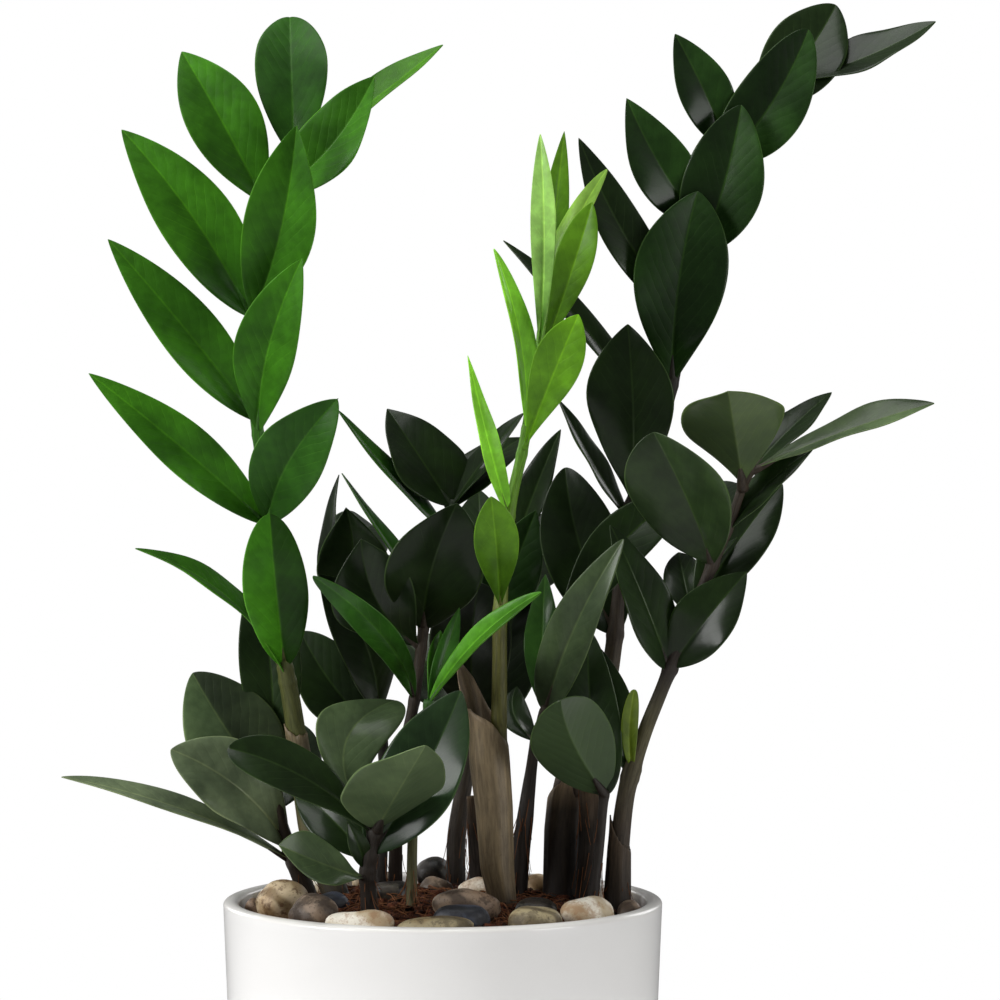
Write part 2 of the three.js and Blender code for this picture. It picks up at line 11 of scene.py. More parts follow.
import bpy
import numpy as np
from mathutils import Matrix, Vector


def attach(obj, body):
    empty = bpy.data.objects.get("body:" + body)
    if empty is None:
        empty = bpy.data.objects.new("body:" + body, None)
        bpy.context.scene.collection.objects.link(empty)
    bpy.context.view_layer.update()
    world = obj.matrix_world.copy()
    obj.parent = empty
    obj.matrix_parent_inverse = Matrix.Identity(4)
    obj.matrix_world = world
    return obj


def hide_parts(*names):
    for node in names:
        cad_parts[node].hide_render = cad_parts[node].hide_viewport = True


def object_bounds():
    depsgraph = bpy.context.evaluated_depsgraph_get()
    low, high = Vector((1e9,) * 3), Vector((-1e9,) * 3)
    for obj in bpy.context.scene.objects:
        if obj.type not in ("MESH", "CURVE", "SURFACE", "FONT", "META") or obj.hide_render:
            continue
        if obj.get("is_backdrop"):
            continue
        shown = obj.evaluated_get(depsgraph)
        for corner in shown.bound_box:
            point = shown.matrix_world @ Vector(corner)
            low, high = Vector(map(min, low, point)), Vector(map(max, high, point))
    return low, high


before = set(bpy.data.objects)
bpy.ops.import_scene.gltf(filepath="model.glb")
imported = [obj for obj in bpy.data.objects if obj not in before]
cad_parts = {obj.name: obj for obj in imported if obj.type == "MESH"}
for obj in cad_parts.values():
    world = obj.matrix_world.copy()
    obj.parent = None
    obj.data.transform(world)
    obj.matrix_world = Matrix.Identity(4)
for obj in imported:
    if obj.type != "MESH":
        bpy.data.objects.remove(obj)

cad_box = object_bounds()
print("CAD nodes:", len(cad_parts))

# %% [markdown]
# ## The camera
#
# On the real set the camera stood a little over a metre in front of the pot, level, at about the
# height of the middle of the leaves. The ellipse of the pot's rim gives its height and distance.
# A long lens keeps the pot's sides almost upright. The camera stays level, so upright things
# stay upright, and no lens shift is needed.

# %% The camera
SIGHT = np.array([20.8, -1100.0, 285.2])
MILLIMETRE = 0.001
FOCAL_LENGTH = 108.4
SENSOR_WIDTH = 36


def show(name, data):
    """A new object with the given data, linked to the scene."""
    made = bpy.data.objects.new(name, data)
    bpy.context.scene.collection.objects.link(made)
    return made


camera_data = bpy.data.cameras.new("camera")
camera_data.lens = FOCAL_LENGTH
camera_data.sensor_width = SENSOR_WIDTH
camera = show("camera", camera_data)
camera.location = SIGHT * MILLIMETRE
camera.rotation_euler = (math.pi / 2, 0, 0)
bpy.context.scene.camera = camera
print("camera:", tuple(round(v, 3) for v in camera.location), "lens", camera_data.lens)

# %% [markdown]
# ## The studio
#
# The plant stood on a white table before a bright white sheet. A world of one colour could do
# both jobs, but then every glossy leaf would mirror white and turn grey. So the world shows
# white only to the camera, and is dim for the light and the reflections. Large soft lamps, on
# the left in front, above and behind, do the lighting.

# %% The world
WORLD_LIGHT = 0.12

world = bpy.data.worlds.new("white_sheet")
world.use_nodes = True
bpy.context.scene.world = world
bpy.context.scene.view_settings.view_transform = "Standard"
sky = world.node_tree
sky.nodes.clear()
seen, lit, ray, either, out = (sky.nodes.new("ShaderNode" + kind) for kind in (
    "Background", "Background", "LightPath", "MixShader", "OutputWorld"))
seen.inputs["Color"].default_value = lit.inputs["Color"].default_value = (1, 1, 1, 1)
lit.inputs["Strength"].default_value = WORLD_LIGHT
sky.links.new(ray.outputs["Is Camera Ray"], either.inputs[0])
sky.links.new(lit.outputs[0], either.inputs[1])
sky.links.new(seen.outputs[0], either.inputs[2])
sky.links.new(either.outputs[0], out.inputs[0])
print("world light:", WORLD_LIGHT)

# %% The lamps
AIM = Vector((0.02, 0.0, 0.27))
# Name, place in metres, size in metres, watts.
LAMPS = [
    ("key_left", (-1.75, -0.85, 1.0), 0.9, 34), ("fill_right", (1.6, -0.95, 0.45), 0.8, 12),
    ("top", (-0.25, -0.15, 1.6), 0.9, 12), ("back_left", (-1.1, 1.2, 0.8), 0.8, 5),
    ("back_right", (1.1, 1.3, 0.8), 0.8, 5),
]
for name, place, size, watts in LAMPS:
    lamp = bpy.data.lights.new(name, "AREA")
    lamp.shape = "SQUARE"
    lamp.size = size
    lamp.energy = watts
    holder = show(name, lamp)
    holder.location = place
    holder.rotation_euler = (AIM - Vector(place)).to_track_quat("-Z", "Y").to_euler()
print("lamps:", len(LAMPS))

# %% [markdown]
# ## Surfaces from numbers
#
# A leaflet, a stem, a pebble and a thread of coir look very different, but each is a closed skin:
# rows of points in a ring, one after another, closed by a point at each end. One function makes
# the faces for any number of such skins, and a piece is a stack of them. Sculpting each by hand
# would take days, and could not be repeated.

# %% Closed skins
def skin_faces(count, rows, around):
    """Faces of closed skins of the same kind.

    Point j of row i has the number i * around + j, and the two end points come after the rows.
    A face joins (i, j), (i + 1, j), (i + 1, j + 1) and (i, j + 1), and each end is a fan.
    """
    i, j = np.meshgrid(np.arange(rows - 1), np.arange(around), indexing="ij")
    k = (j + 1) % around
    quads = np.stack([i * around + j, (i + 1) * around + j, (i + 1) * around + k, i * around + k], -1)
    j = np.arange(around)
    k = (j + 1) % around
    last = (rows - 1) * around
    head = np.stack([np.full(around, rows * around), j, k], -1)
    foot = np.stack([np.full(around, rows * around + 1), last + k, last + j], -1)
    shift = (rows * around + 2) * np.arange(count)[:, None, None]
    quads = (quads.reshape(1, -1, 4) + shift).reshape(-1, 4)
    fans = (np.concatenate([head, foot])[None] + shift).reshape(-1, 3)
    return quads.tolist() + fans.tolist()


def close_skins(rows, head, foot):
    """Stacks the rows (skins, rows, around, values) with the values at the two ends."""
    count, values = rows.shape[0], rows.shape[-1]
    flat = rows.reshape(count, -1, values)
    return np.concatenate([flat, head[:, None], foot[:, None]], 1)


class Skins:
    """Closed skins of one kind: their points in millimetres and the values kept on the points."""

    def __init__(self, rows, head, foot, **kept):
        self.points = close_skins(rows, head, foot).reshape(-1, 3)
        self.faces = skin_faces(*rows.shape[:3])
        self.kept = {}
        for name, value in kept.items():
            value = np.broadcast_to(value, rows.shape[:3] + value.shape[-1:])
            ends = value[:, 0].mean(1), value[:, -1].mean(1)
            self.kept[name] = close_skins(value, *ends).reshape(-1, value.shape[-1])


print("faces of one skin of 3 rows of 4 points:", len(skin_faces(1, 3, 4)))


# %% A piece from its skins
def make_piece(name, skins, material, nodes=(), grown=False):
    """A named mesh from a list of Skins. Grown ones are carried to their depth along the sight."""
    points = np.concatenate([one.points for one in skins])
    if grown:
        points = spread_from_sight(points)
    faces, start = [], 0
    for one in skins:
        faces += [[start + corner for corner in face] for face in one.faces]
        start += len(one.points)
    mesh = bpy.data.meshes.new(name)
    mesh.from_pydata((points * MILLIMETRE).tolist(), [], faces)
    for key in skins[0].kept:
        values = np.concatenate([one.kept[key] for one in skins])
        if key == "tone":
            values = np.column_stack([values, np.ones(len(values))])
            mesh.attributes.new(key, "FLOAT_COLOR", "POINT").data.foreach_set("color", values.ravel())
        else:
            mesh.attributes.new(key, "FLOAT_VECTOR", "POINT").data.foreach_set("vector", values.ravel())
    mesh.shade_smooth()
    mesh.materials.append(material)
    made = show(name, mesh)
    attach(made, "root")
    if nodes:
        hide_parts(*nodes)
    return made


def spread_from_sight(points):
    """Carries each point of the plant from the middle plane along its line of sight to its depth."""
    spread = 1 + points[:, 1:2] / -SIGHT[1]
    moved = SIGHT + (points - SIGHT) * spread
    moved[:, 1] = points[:, 1]
    return moved


# %% Vectors and noise
UP = np.array([0, 0, 1])
LATTICE_WAY = np.array([127.1, 311.7, 74.7])
LATTICE_SHUFFLE = 43758.5453


def unit(v):
    """Vectors made one unit long."""
    return v / np.maximum(np.linalg.norm(v, axis=-1, keepdims=True), 1e-9)


def square_to(v, axis):
    """Vectors with their share along the axis taken away, made one unit long."""
    return unit(v - (v * axis).sum(-1, keepdims=True) * axis)


def round_angles(sides):
    """Angles evenly spaced all the way round."""
    return 2 * np.pi * np.arange(sides) / sides


def on_ring(angle, radius, z):
    """Places round the vertical: (radius cos a, radius sin a, z)."""
    return np.stack(np.broadcast_arrays(radius * np.cos(angle), radius * np.sin(angle), z), -1)


def bend(t, start, pull, end):
    """The quadratic curve from start to end that is pulled to a third point."""
    return (1 - t) ** 2 * start + 2 * t * (1 - t) * pull + t**2 * end


def ease(share):
    """An S-curve from 0 to 1."""
    return share * share * (3 - 2 * share)


def smooth(low, high, value):
    """0 below low, 1 above high, and an S-curve between them."""
    return ease(np.clip((value - low) / (high - low), 0, 1))


def lattice(place):
    """A repeatable number from 0 to 1 for each whole-numbered place."""
    wave = np.sin(place @ LATTICE_WAY) * LATTICE_SHUFFLE
    return wave - np.floor(wave)


def noise(place):
    """Smooth noise from -1 to 1: the lattice numbers of the eight corners, blended."""
    cell = np.floor(place)
    share = ease(place - cell)
    total = 0
    for corner in np.ndindex(2, 2, 2):
        weight = np.where(np.array(corner), share, 1 - share).prod(-1)
        total = total + weight * lattice(cell + np.array(corner))
    return 2 * total - 1


print("noise at three places:", noise(np.array([[0.5, 1, 2], [3, 0.2, 1], [9, 9, 0.4]])).round(2))

# %% [markdown]
# ## Finishes from nodes
#
# Each finish is a short graph of shader nodes: a pattern, a colour ramp and a little relief. The
# helpers below add a node in one line. A node's input takes a number, a colour, its #rrggbb
# code, or the output of another node.

# %% Node helpers
def linear(code):
    """A colour written as #rrggbb, as the linear numbers that a shader needs."""
    value = np.array([int(code[i : i + 2], 16) for i in (1, 3, 5)]) / 255
    return np.where(value < 0.04045, value / 12.92, ((value + 0.055) / 1.055) ** 2.4)


class Finish:
    """A material with its node graph."""

    def __init__(self, name, roughness=0.5, specular=0.5, **sockets):
        self.material = bpy.data.materials.new(name)
        self.material.use_nodes = True
        self.tree = self.material.node_tree
        self.surface = self.tree.nodes["Principled BSDF"]
        self.surface.inputs["Roughness"].default_value = roughness
        self.surface.inputs["Specular IOR Level"].default_value = specular
        for socket, value in sockets.items():
            self.surface.inputs[socket.replace("_", " ")].default_value = value

    def put(self, socket, value):
        """A number, a colour, its #rrggbb code or a node's output into a socket."""
        if isinstance(value, str):
            value = (*linear(value), 1)
        if isinstance(value, bpy.types.NodeSocket):
            self.tree.links.new(value, socket)
        elif value is not None:
            socket.default_value = value

    def node(self, kind, *values, **settings):
        """A node with its settings and the values of its inputs in order."""
        made = self.tree.nodes.new("ShaderNode" + kind)
        for key, value in settings.items():
            setattr(made, key, value)
        for socket, value in zip(made.inputs, values):
            self.put(socket, value)
        return made

    def math(self, operation, *values):
        """A sum, product or other result of numbers."""
        return self.node("Math", *values, operation=operation).outputs[0]

    def plus(self, *values):
        """Two numbers added."""
        return self.math("ADD", *values)

    def times(self, *values):
        """Two numbers multiplied."""
        return self.math("MULTIPLY", *values)

    def step(self, value, low, high, to_low=0.0, to_high=1.0):
        """A value mapped smoothly from low..high to to_low..to_high."""
        made = self.node("MapRange", value, low, high, to_low, to_high, interpolation_type="SMOOTHSTEP")
        return made.outputs[0]

    def mix(self, share, first, second, blend="MIX"):
        """Two colours mixed by a share."""
        made = self.tree.nodes.new("ShaderNodeMix")
        made.data_type = "RGBA"
        made.blend_type = blend
        for socket, value in zip((made.inputs[0], made.inputs[6], made.inputs[7]), (share, first, second)):
            self.put(socket, value)
        return made.outputs[2]

    def tint(self, tone, by):
        """A colour multiplied by another."""
        return self.mix(1.0, tone, by, "MULTIPLY")

    def named(self, made, **sockets):
        """Values put into a node's inputs by name."""
        for socket, value in sockets.items():
            self.put(made.inputs[socket], value)
        return made

    def noise(self, place, scale, detail=3.0, roughness=0.5):
        """Noise from 0 to 1 at a place."""
        made = self.node("TexNoise", noise_dimensions="3D")
        return self.named(made, Vector=place, Scale=scale, Detail=detail, Roughness=roughness).outputs[0]

    def bands(self, place, way, scale, distortion, detail=2.0):
        """Wavy bands from 0 to 1 across the way X, Y, Z or DIAGONAL."""
        made = self.node("TexWave", wave_type="BANDS", bands_direction=way)
        return self.named(made, Vector=place, Scale=scale, Distortion=distortion, Detail=detail).outputs[1]

    def here(self):
        """The place on the object."""
        return self.node("TexCoord").outputs["Object"]

    def kept(self, name, output="Vector"):
        """Values kept on the mesh's points."""
        return self.node("Attribute", attribute_name=name).outputs[output]

    def relief(self, height, strength, distance):
        """Bump from a height, joined to the surface."""
        made = self.named(self.node("Bump"), Strength=strength, Distance=distance, Height=height)
        self.put(self.surface.inputs["Normal"], made.outputs[0])

    def paint(self, tone, rough=None):
        """The colour of the surface and, where one is given, its roughness."""
        self.put(self.surface.inputs["Base Color"], tone)
        self.put(self.surface.inputs["Roughness"], rough)


print("leaf green in linear numbers:", linear("#1f7a12").round(3))

# %% [markdown]
# ## The table
#
# The photograph shows no table, only white. A wide pale round top under the pot catches its
# shadow in the other views. It ends before the camera could see it behind the pot.

# %% The table
table = Finish("table_white", roughness=0.6)
faint = table.noise(table.here(), 30, 4)
table.paint(table.mix(faint, "#f2f1ef", "#f7f6f5"))
TABLE_RADIUS = 580.0
TABLE_THICK = 20
TABLE_ROUND = 4
TABLE_EDGE = [(TABLE_RADIUS - TABLE_ROUND, 0), (TABLE_RADIUS, -TABLE_ROUND),
              (TABLE_RADIUS, TABLE_ROUND - TABLE_THICK), (TABLE_RADIUS - TABLE_ROUND, -TABLE_THICK)]


def turn(profile, around, wobble=0.0):
    """A profile of (radius, height) turned about the vertical: (r cos a, r sin a, z)."""
    radius, height = np.array(profile, float).T[..., None]
    angle = round_angles(around)
    rows = on_ring(angle, radius * (1 + wobble * np.sin(2 * angle + 0.6)), height)
    return Skins(rows[None], height[:1] * UP, height[-1:] * UP)


inner_rings = [(TABLE_RADIUS * share, 0) for share in (0.05, 0.2, 0.5, 0.8)]
top = turn([*inner_rings, *TABLE_EDGE], 96)
floor_mesh = bpy.data.meshes.new("table_top")
floor_mesh.from_pydata((top.points * MILLIMETRE).tolist(), [], top.faces)
floor_mesh.materials.append(table.material)
floor = show("table_top", floor_mesh)
floor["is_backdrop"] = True
print("table top across:", 2 * TABLE_RADIUS, "mm")

# %% [markdown]
# ## The pot
#
# The pot is slip-cast stoneware under a clear white glaze: a plain cylinder that narrows a little
# to its foot, with a thin rounded lip. It was made by turning, so it is modelled by turning one
# profile: up the inside, over the lip, down the outside and under the foot. The glaze is a
# white base with a clear coat. It is a little thinner on the lip, and the foot is bare clay.

# %% The pot's measures
POT_HEIGHT = 140.0
RIM_RADIUS = 80.0
BASE_RADIUS = 74.0
WALL = 5.5
POT_FLOOR = 8.0
LIP_RISE = 1.7
LIP_STEPS = 21
FOOT_ROUND = 5.0
POT_SIDES = 192
OUT_OF_ROUND = 0.0006


def pot_radius(z):
    """The pot's outer radius at a height: a straight taper."""
    return BASE_RADIUS + (RIM_RADIUS - BASE_RADIUS) * z / POT_HEIGHT


def quarter(start, corner, end, steps):
    """A rounded corner: the quadratic curve from start to end that is pulled to the corner."""
    return bend(np.linspace(0, 1, steps)[:, None], *np.array([start, corner, end], float)).tolist()


wall_top = POT_HEIGHT - LIP_RISE
outer_top = pot_radius(wall_top)
inner_foot = pot_radius(POT_FLOOR) - WALL
lip_angle = np.linspace(np.pi, 0, LIP_STEPS)
lip = np.stack([outer_top - WALL / 2 * (1 - np.cos(lip_angle)), wall_top + LIP_RISE * np.sin(lip_angle)], -1)
inside_z = np.linspace(POT_FLOOR + FOOT_ROUND, wall_top, 24)[:-1]
inside_share = (inside_z - inside_z[0]) / (wall_top - inside_z[0])
inside_r = inner_foot + (outer_top - WALL - inner_foot) * inside_share
outside_z = np.linspace(wall_top, FOOT_ROUND, 40)[1:-1]
pot_profile = [
    (10, POT_FLOOR), (40, POT_FLOOR),
    *quarter((inner_foot - FOOT_ROUND, POT_FLOOR), (inner_foot, POT_FLOOR),
             (inner_foot, POT_FLOOR + FOOT_ROUND), 7)[:-1],
    *zip(inside_r, inside_z), *lip.tolist(), *zip(pot_radius(outside_z), outside_z),
    *quarter((pot_radius(FOOT_ROUND), FOOT_ROUND), (BASE_RADIUS, 0), (BASE_RADIUS - FOOT_ROUND, 0), 9),
    (50, 0), (10, 0),
]
print("points in the pot's profile:", len(pot_profile))

# %% The glaze
BARE_FOOT = 0.4, 1.2
THIN_LIP = POT_HEIGHT - 2.2, POT_HEIGHT - 0.8

glaze = Finish("white_glaze", roughness=0.3, Coat_Weight=0.55, Coat_Roughness=0.08)
place = glaze.here()
height_on_pot = glaze.math("DIVIDE", glaze.node("SeparateXYZ", place).outputs[2], MILLIMETRE)
bare = glaze.step(height_on_pot, BARE_FOOT[1], BARE_FOOT[0])
milk = glaze.mix(glaze.noise(place, 22, 2), "#f0efed", "#f5f4f3")
milk = glaze.mix(glaze.step(height_on_pot, *THIN_LIP, 0.0, 0.35), milk, "#e9e4da")
clay = glaze.mix(glaze.noise(place, 900, 2), "#cbb79c", "#b39d80")
glaze.paint(glaze.mix(bare, milk, clay), glaze.step(bare, 0, 1, 0.3, 0.8))
orange_peel = glaze.times(glaze.noise(place, 420, 2), 0.08)
glaze.relief(glaze.plus(glaze.noise(place, 60, 2), orange_peel), 0.12, 0.0006)
body = turn(pot_profile, POT_SIDES, OUT_OF_ROUND)
pot = make_piece("pot_body", [body], glaze.material, ["pot"])
print("pot faces:", len(pot.data.polygons))

# %% [markdown]
# ## The soil
#
# The pot is filled with coir and bark mix: rust-brown crumbs with threads of coconut fibre. Its
# surface is a turned profile whose top is pushed up and down by noise at two sizes. Loose
# crumbs and threads on it are separate small skins, because noise alone can't overhang.

# %% The soil's surface
SOIL_EDGE = 133.0
SOIL_MIDDLE = 140.0
SOIL_REACH = pot_radius(SOIL_EDGE) - WALL
# Height, width and shift of the lumps, the small lumps and the grains.
LUMPS = [(1.3, 7, 0), (0.8, 3, 40), (0.35, 1.2, 90)]
pick = np.random.default_rng(11)


def soil_height(x, y):
    """The level of the soil: a low dome that falls from the middle to the wall."""
    return SOIL_MIDDLE - (SOIL_MIDDLE - SOIL_EDGE) * (np.hypot(x, y) / SOIL_REACH) ** 2


def crumbs(x, y):
    """Height of the lumps on the soil: noise of three sizes."""
    place = np.stack([x, y, 0 * x], -1)
    return sum(high * noise(place / wide + shift) for high, wide, shift in LUMPS)


soil_rings = SOIL_REACH * np.linspace(0.01, 0.998, 96)
soil_profile = [(r, soil_height(r, 0)) for r in soil_rings]
soil_profile += [(pot_radius(z) - WALL - 0.2, z) for z in (125, 100, 70, 40, 16)]
soil_profile += [(inner_foot - 4, 9), (40, 8.4), (8, 8.4)]
soil_skin = turn(soil_profile, 300)
on_top = soil_skin.points[:, 2] > SOIL_EDGE - 0.2
lumps = crumbs(soil_skin.points[:, 0], soil_skin.points[:, 1])
soil_skin.points[:, 2] += np.where(on_top, lumps, 0)
print("soil points:", len(soil_skin.points))

# %% The soil's colour
EARTH_DARK = "#1d110b"
EARTH_RUST = "#5b3220"
EARTH_PALE = "#7d4c31"


def earth_finish(name, fine):
    """Coir mix: dark between the crumbs, rust and paler on them, dull all over."""
    made = Finish(name, roughness=0.92, specular=0.2)
    place = made.here()
    rust = made.step(made.noise(place, fine, 4, 0.65), 0.38, 0.62)
    pale = made.step(made.noise(place, fine * 2.6, 3), 0.55, 0.7)
    tone = made.mix(rust, EARTH_DARK, EARTH_RUST)
    made.paint(made.mix(pale, tone, EARTH_PALE))
    made.relief(made.noise(place, fine * 3, 4, 0.7), 0.7, 0.0012)
    return made.material


earth = earth_finish("coir_soil", 260)
soil = make_piece("soil_bed", [soil_skin], earth, ["soil"])
print("soil faces:", len(soil.data.polygons))


# %% Crumbs and threads
CRUMB_COUNT, CRUMB_SMALL, CRUMB_LARGE = 700, 0.8, 3.2
COIR_COUNT, COIR_LENGTH, COIR_RADIUS = 320, 22, 0.16


def tube_rows(lines, across, back, radius, sides):
    """Rings round lines (count, steps, 3): line + radius (cos a across + sin a back)."""
    angle = round_angles(sides)[:, None]
    ring = across[:, :, None] * np.cos(angle) + back[:, :, None] * np.sin(angle)
    return lines[:, :, None] + np.broadcast_to(radius, lines.shape[:2])[..., None, None] * ring


def threads(paths, radius, sides=4):
    """Round threads along paths, closed by short points."""
    tangent = unit(np.gradient(paths, axis=1))
    across = unit(np.cross(tangent, np.array([0.36, 0.48, 0.8])))
    rows = tube_rows(paths, across, np.cross(across, tangent), radius, sides)
    return Skins(rows, paths[:, 0] - tangent[:, 0] * 0.05, paths[:, -1] + tangent[:, -1] * 0.05)


def loose_bits(count, low, high):
    """Uneven crumbs scattered on the soil: small rings of points pushed about by chance."""
    turn_to = 2 * np.pi * pick.random(count)
    reach = (SOIL_REACH - 4) * np.sqrt(pick.random(count))
    x, y = reach * np.cos(turn_to), reach * np.sin(turn_to)
    size = low + (high - low) * pick.random(count) ** 2
    centre = np.stack([x, y, soil_height(x, y) + crumbs(x, y) + 0.25 * size], -1)
    level = np.array([[0.75], [0.1], [-0.6]])
    shape = on_ring(round_angles(6), np.sqrt(1 - level**2), level)
    shape = shape * (1 + 0.5 * (pick.random((count, 3, 6, 1)) - 0.5))
    tall = 0.45 + 0.4 * pick.random((count, 1, 1, 1))
    squash = np.concatenate([1.0 + 0 * tall, 0.6 + 0.3 * tall, tall], -1)
    rows = centre[:, None, None] + size[:, None, None, None] * shape * squash
    return Skins(rows, rows[:, 0].mean(1) + 0.1 * UP, rows[:, -1].mean(1) - 0.1 * UP)


def coir(count, length):
    """Curved threads that lie on the soil and lift a little in their middle."""
    start = 2 * np.pi * pick.random((count, 1))
    reach = (SOIL_REACH - 10) * np.sqrt(pick.random((count, 1)))
    heading = 2 * np.pi * pick.random((count, 1))
    bend = 2.4 * (pick.random((count, 1)) - 0.5)
    along = np.linspace(0, 1, 8)[None]
    size = length * (0.4 + 0.6 * pick.random((count, 1)))
    x = reach * np.cos(start) + size * along * np.cos(heading + bend * along)
    y = reach * np.sin(start) + size * along * np.sin(heading + bend * along)
    inside = np.minimum(1, (SOIL_REACH - 2) / np.hypot(x, y))
    x, y = x * inside, y * inside
    lift = 0.5 + 2.2 * pick.random((count, 1)) * np.sin(np.pi * along)
    level = soil_height(x, y) + crumbs(x, y) * 0.6 + lift
    return threads(np.stack([x, y, level], -1), COIR_RADIUS)


loose = loose_bits(CRUMB_COUNT, CRUMB_SMALL, CRUMB_LARGE)
bits = make_piece("soil_crumbs", [loose], earth_finish("coir_crumbs", 420))
hairs = Finish("coir_thread", roughness=0.85, specular=0.2)
hairs.paint(hairs.mix(hairs.noise(hairs.here(), 200, 2), "#4a2c1b", "#8a5a38"))
hairs.relief(hairs.noise(hairs.here(), 1500, 2), 0.4, 0.0004)
strings = make_piece("soil_coir", [coir(COIR_COUNT, COIR_LENGTH)], hairs.material)
print("crumbs and threads:", len(bits.data.polygons) + len(strings.data.polygons), "faces")

# %% [markdown]
# ## The rhizome
#
# The fronds grow from one lumpy rhizome that stays buried in the soil, so its CAD form stays as
# it is. It gets the tan, ringed skin of a potato-like tuber.

# %% The rhizome's skin
tuber = Finish("tuber_skin", roughness=0.75, specular=0.3)
place = tuber.here()
rings = tuber.bands(place, "Z", 60, 6)
tone = tuber.mix(tuber.noise(place, 70, 4), "#8b6a44", "#b5946a")
tuber.paint(tuber.mix(tuber.step(rings, 0.7, 0.95, 0, 0.5), tone, "#5d442b"))
tuber.relief(rings, 0.3, 0.0008)
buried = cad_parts["rhizome"]
buried.data.materials.clear()
buried.data.materials.append(tuber.material)

# %% [markdown]
# ## The pebbles
#
# River pebbles of several kinds of rock dress the soil. Water has rounded them without making
# them even: each is a ball pulled to three half sizes, made a little square, with slow bulges
# and a few flats. Colour comes from noise in bands and spots, one finish for each kind of rock.

# %% The pebbles' places
CREAM, BEIGE, BROWN = "stone_cream", "stone_beige", "stone_brown"
OLIVE, SLATE, DARK = "stone_olive", "stone_slate", "stone_dark"
# Place across and in depth, three half sizes, turn in degrees, share above the soil, kind.
PEBBLES = [
    (-57.5, -21, 10, 8, 8.5, 12, 1.1, BEIGE), (-69.3, 1, 3.4, 5, 4.2, 0, 0.8, BROWN),
    (-44.5, -41, 9.5, 7.5, 7.5, -35, 1.0, BROWN), (-27.5, -60.5, 12, 6, 6.6, -14, 1.0, CREAM),
    (-1.5, -65.5, 14.5, 5.4, 5, 0, 1.1, OLIVE), (7.5, -53.5, 10, 5.6, 6.2, 6, 0.9, SLATE),
    (9.5, -38, 13.5, 7, 7.6, 4, 0.9, BROWN), (-19.5, 0, 8.2, 6.2, 4.6, 8, 0.9, DARK),
    (-40, -15, 7, 6, 4.8, 20, 0.9, SLATE), (33.5, -51, 10, 7.5, 6, 14, 0.9, OLIVE),
    (28, -63.5, 5, 3.2, 3.4, 22, 0.8, CREAM), (51.5, -37, 10.5, 6.2, 6.8, 30, 1.0, CREAM),
    (34, -27, 8, 6, 4.6, -20, 0.8, DARK), (34.6, 26, 7, 6, 5.2, 10, 1.0, BEIGE),
    (34, 46, 8, 6, 5, -8, 0.9, CREAM), (-5.5, 57, 7.6, 6.2, 7.2, 0, 1.2, DARK),
    (-46, 45, 7, 5.4, 5.6, 40, 1.0, CREAM), (-62, 21, 5, 7.2, 5, 10, 0.9, OLIVE),
    (-29, 59, 8.4, 5.6, 5.6, 24, 1.0, BEIGE), (15, 62, 9, 5.8, 5.2, -12, 1.0, BROWN),
    (50, 42, 8.6, 6, 5.6, -46, 1.0, OLIVE), (63, 22, 5.4, 8, 5.4, 16, 0.9, BEIGE),
    (67.4, -13, 4.6, 7.2, 4.8, -8, 0.9, BROWN), (12.5, 11.5, 7.6, 6, 4.6, -30, 0.9, CREAM),
    (-3, 22, 6.6, 5.4, 4.2, 12, 0.8, BROWN),
]


STONE_ROWS, STONE_SIDES = 22, 30
SQUARENESS = 2.35
FLATS, FLAT_EDGE = 8, 16
FLAT_DEPTH = 0.78, 0.98


def stone(x, y, a, b, c, turned, proud, index):
    """A pebble: directions on a ball, pushed out to |x|^p + |y|^p + |z|^p = 1, with slow bulges.

    Worn flats are softly cut off it: each divides the reach by
    (1 + (way . face / depth)^q)^(1/q), where p is the squareness and q the flats' edge.
    """
    rise = np.cos(np.linspace(0, np.pi, STONE_ROWS)[1:-1])[:, None]
    ball = on_ring(round_angles(STONE_SIDES)[None], np.sqrt(1 - rise**2), rise)
    pick_faces = np.random.default_rng(100 + index)
    faces = unit(pick_faces.normal(size=(FLATS, 3)))
    depths = FLAT_DEPTH[0] + (FLAT_DEPTH[1] - FLAT_DEPTH[0]) * pick_faces.random(FLATS)
    phase = 1.7 * index
    cos, sin = math.cos(math.radians(turned)), math.sin(math.radians(turned))

    def formed(way):
        """The pebble's places in the given directions."""
        reach = (np.abs(way) ** SQUARENESS).sum(-1, keepdims=True) ** (-1 / SQUARENESS)
        flats = (np.maximum(0, way @ faces.T / depths) ** FLAT_EDGE).sum(-1, keepdims=True)
        reach = reach * (1 + flats) ** (-1 / FLAT_EDGE)
        bulge = 1 + 0.06 * np.sin(2.3 * way[..., :1] + phase) + 0.05 * np.sin(2.9 * way[..., 1:2] - 2 * phase)
        bulge = bulge + 0.05 * noise(way * 1.6 + 13 * index)[..., None]
        bulge = bulge + 0.012 * noise(way * 6 + index)[..., None]
        shape = way * 0.985 * reach * bulge * (a, b, c)
        shape = shape @ np.array([[cos, sin, 0], [-sin, cos, 0], [0, 0, 1]])
        return shape + (x, y, soil_height(x, y) + c * (proud - 0.5))

    return Skins(formed(ball)[None], formed(UP[None] * 1.0), formed(UP[None] * -1.0))


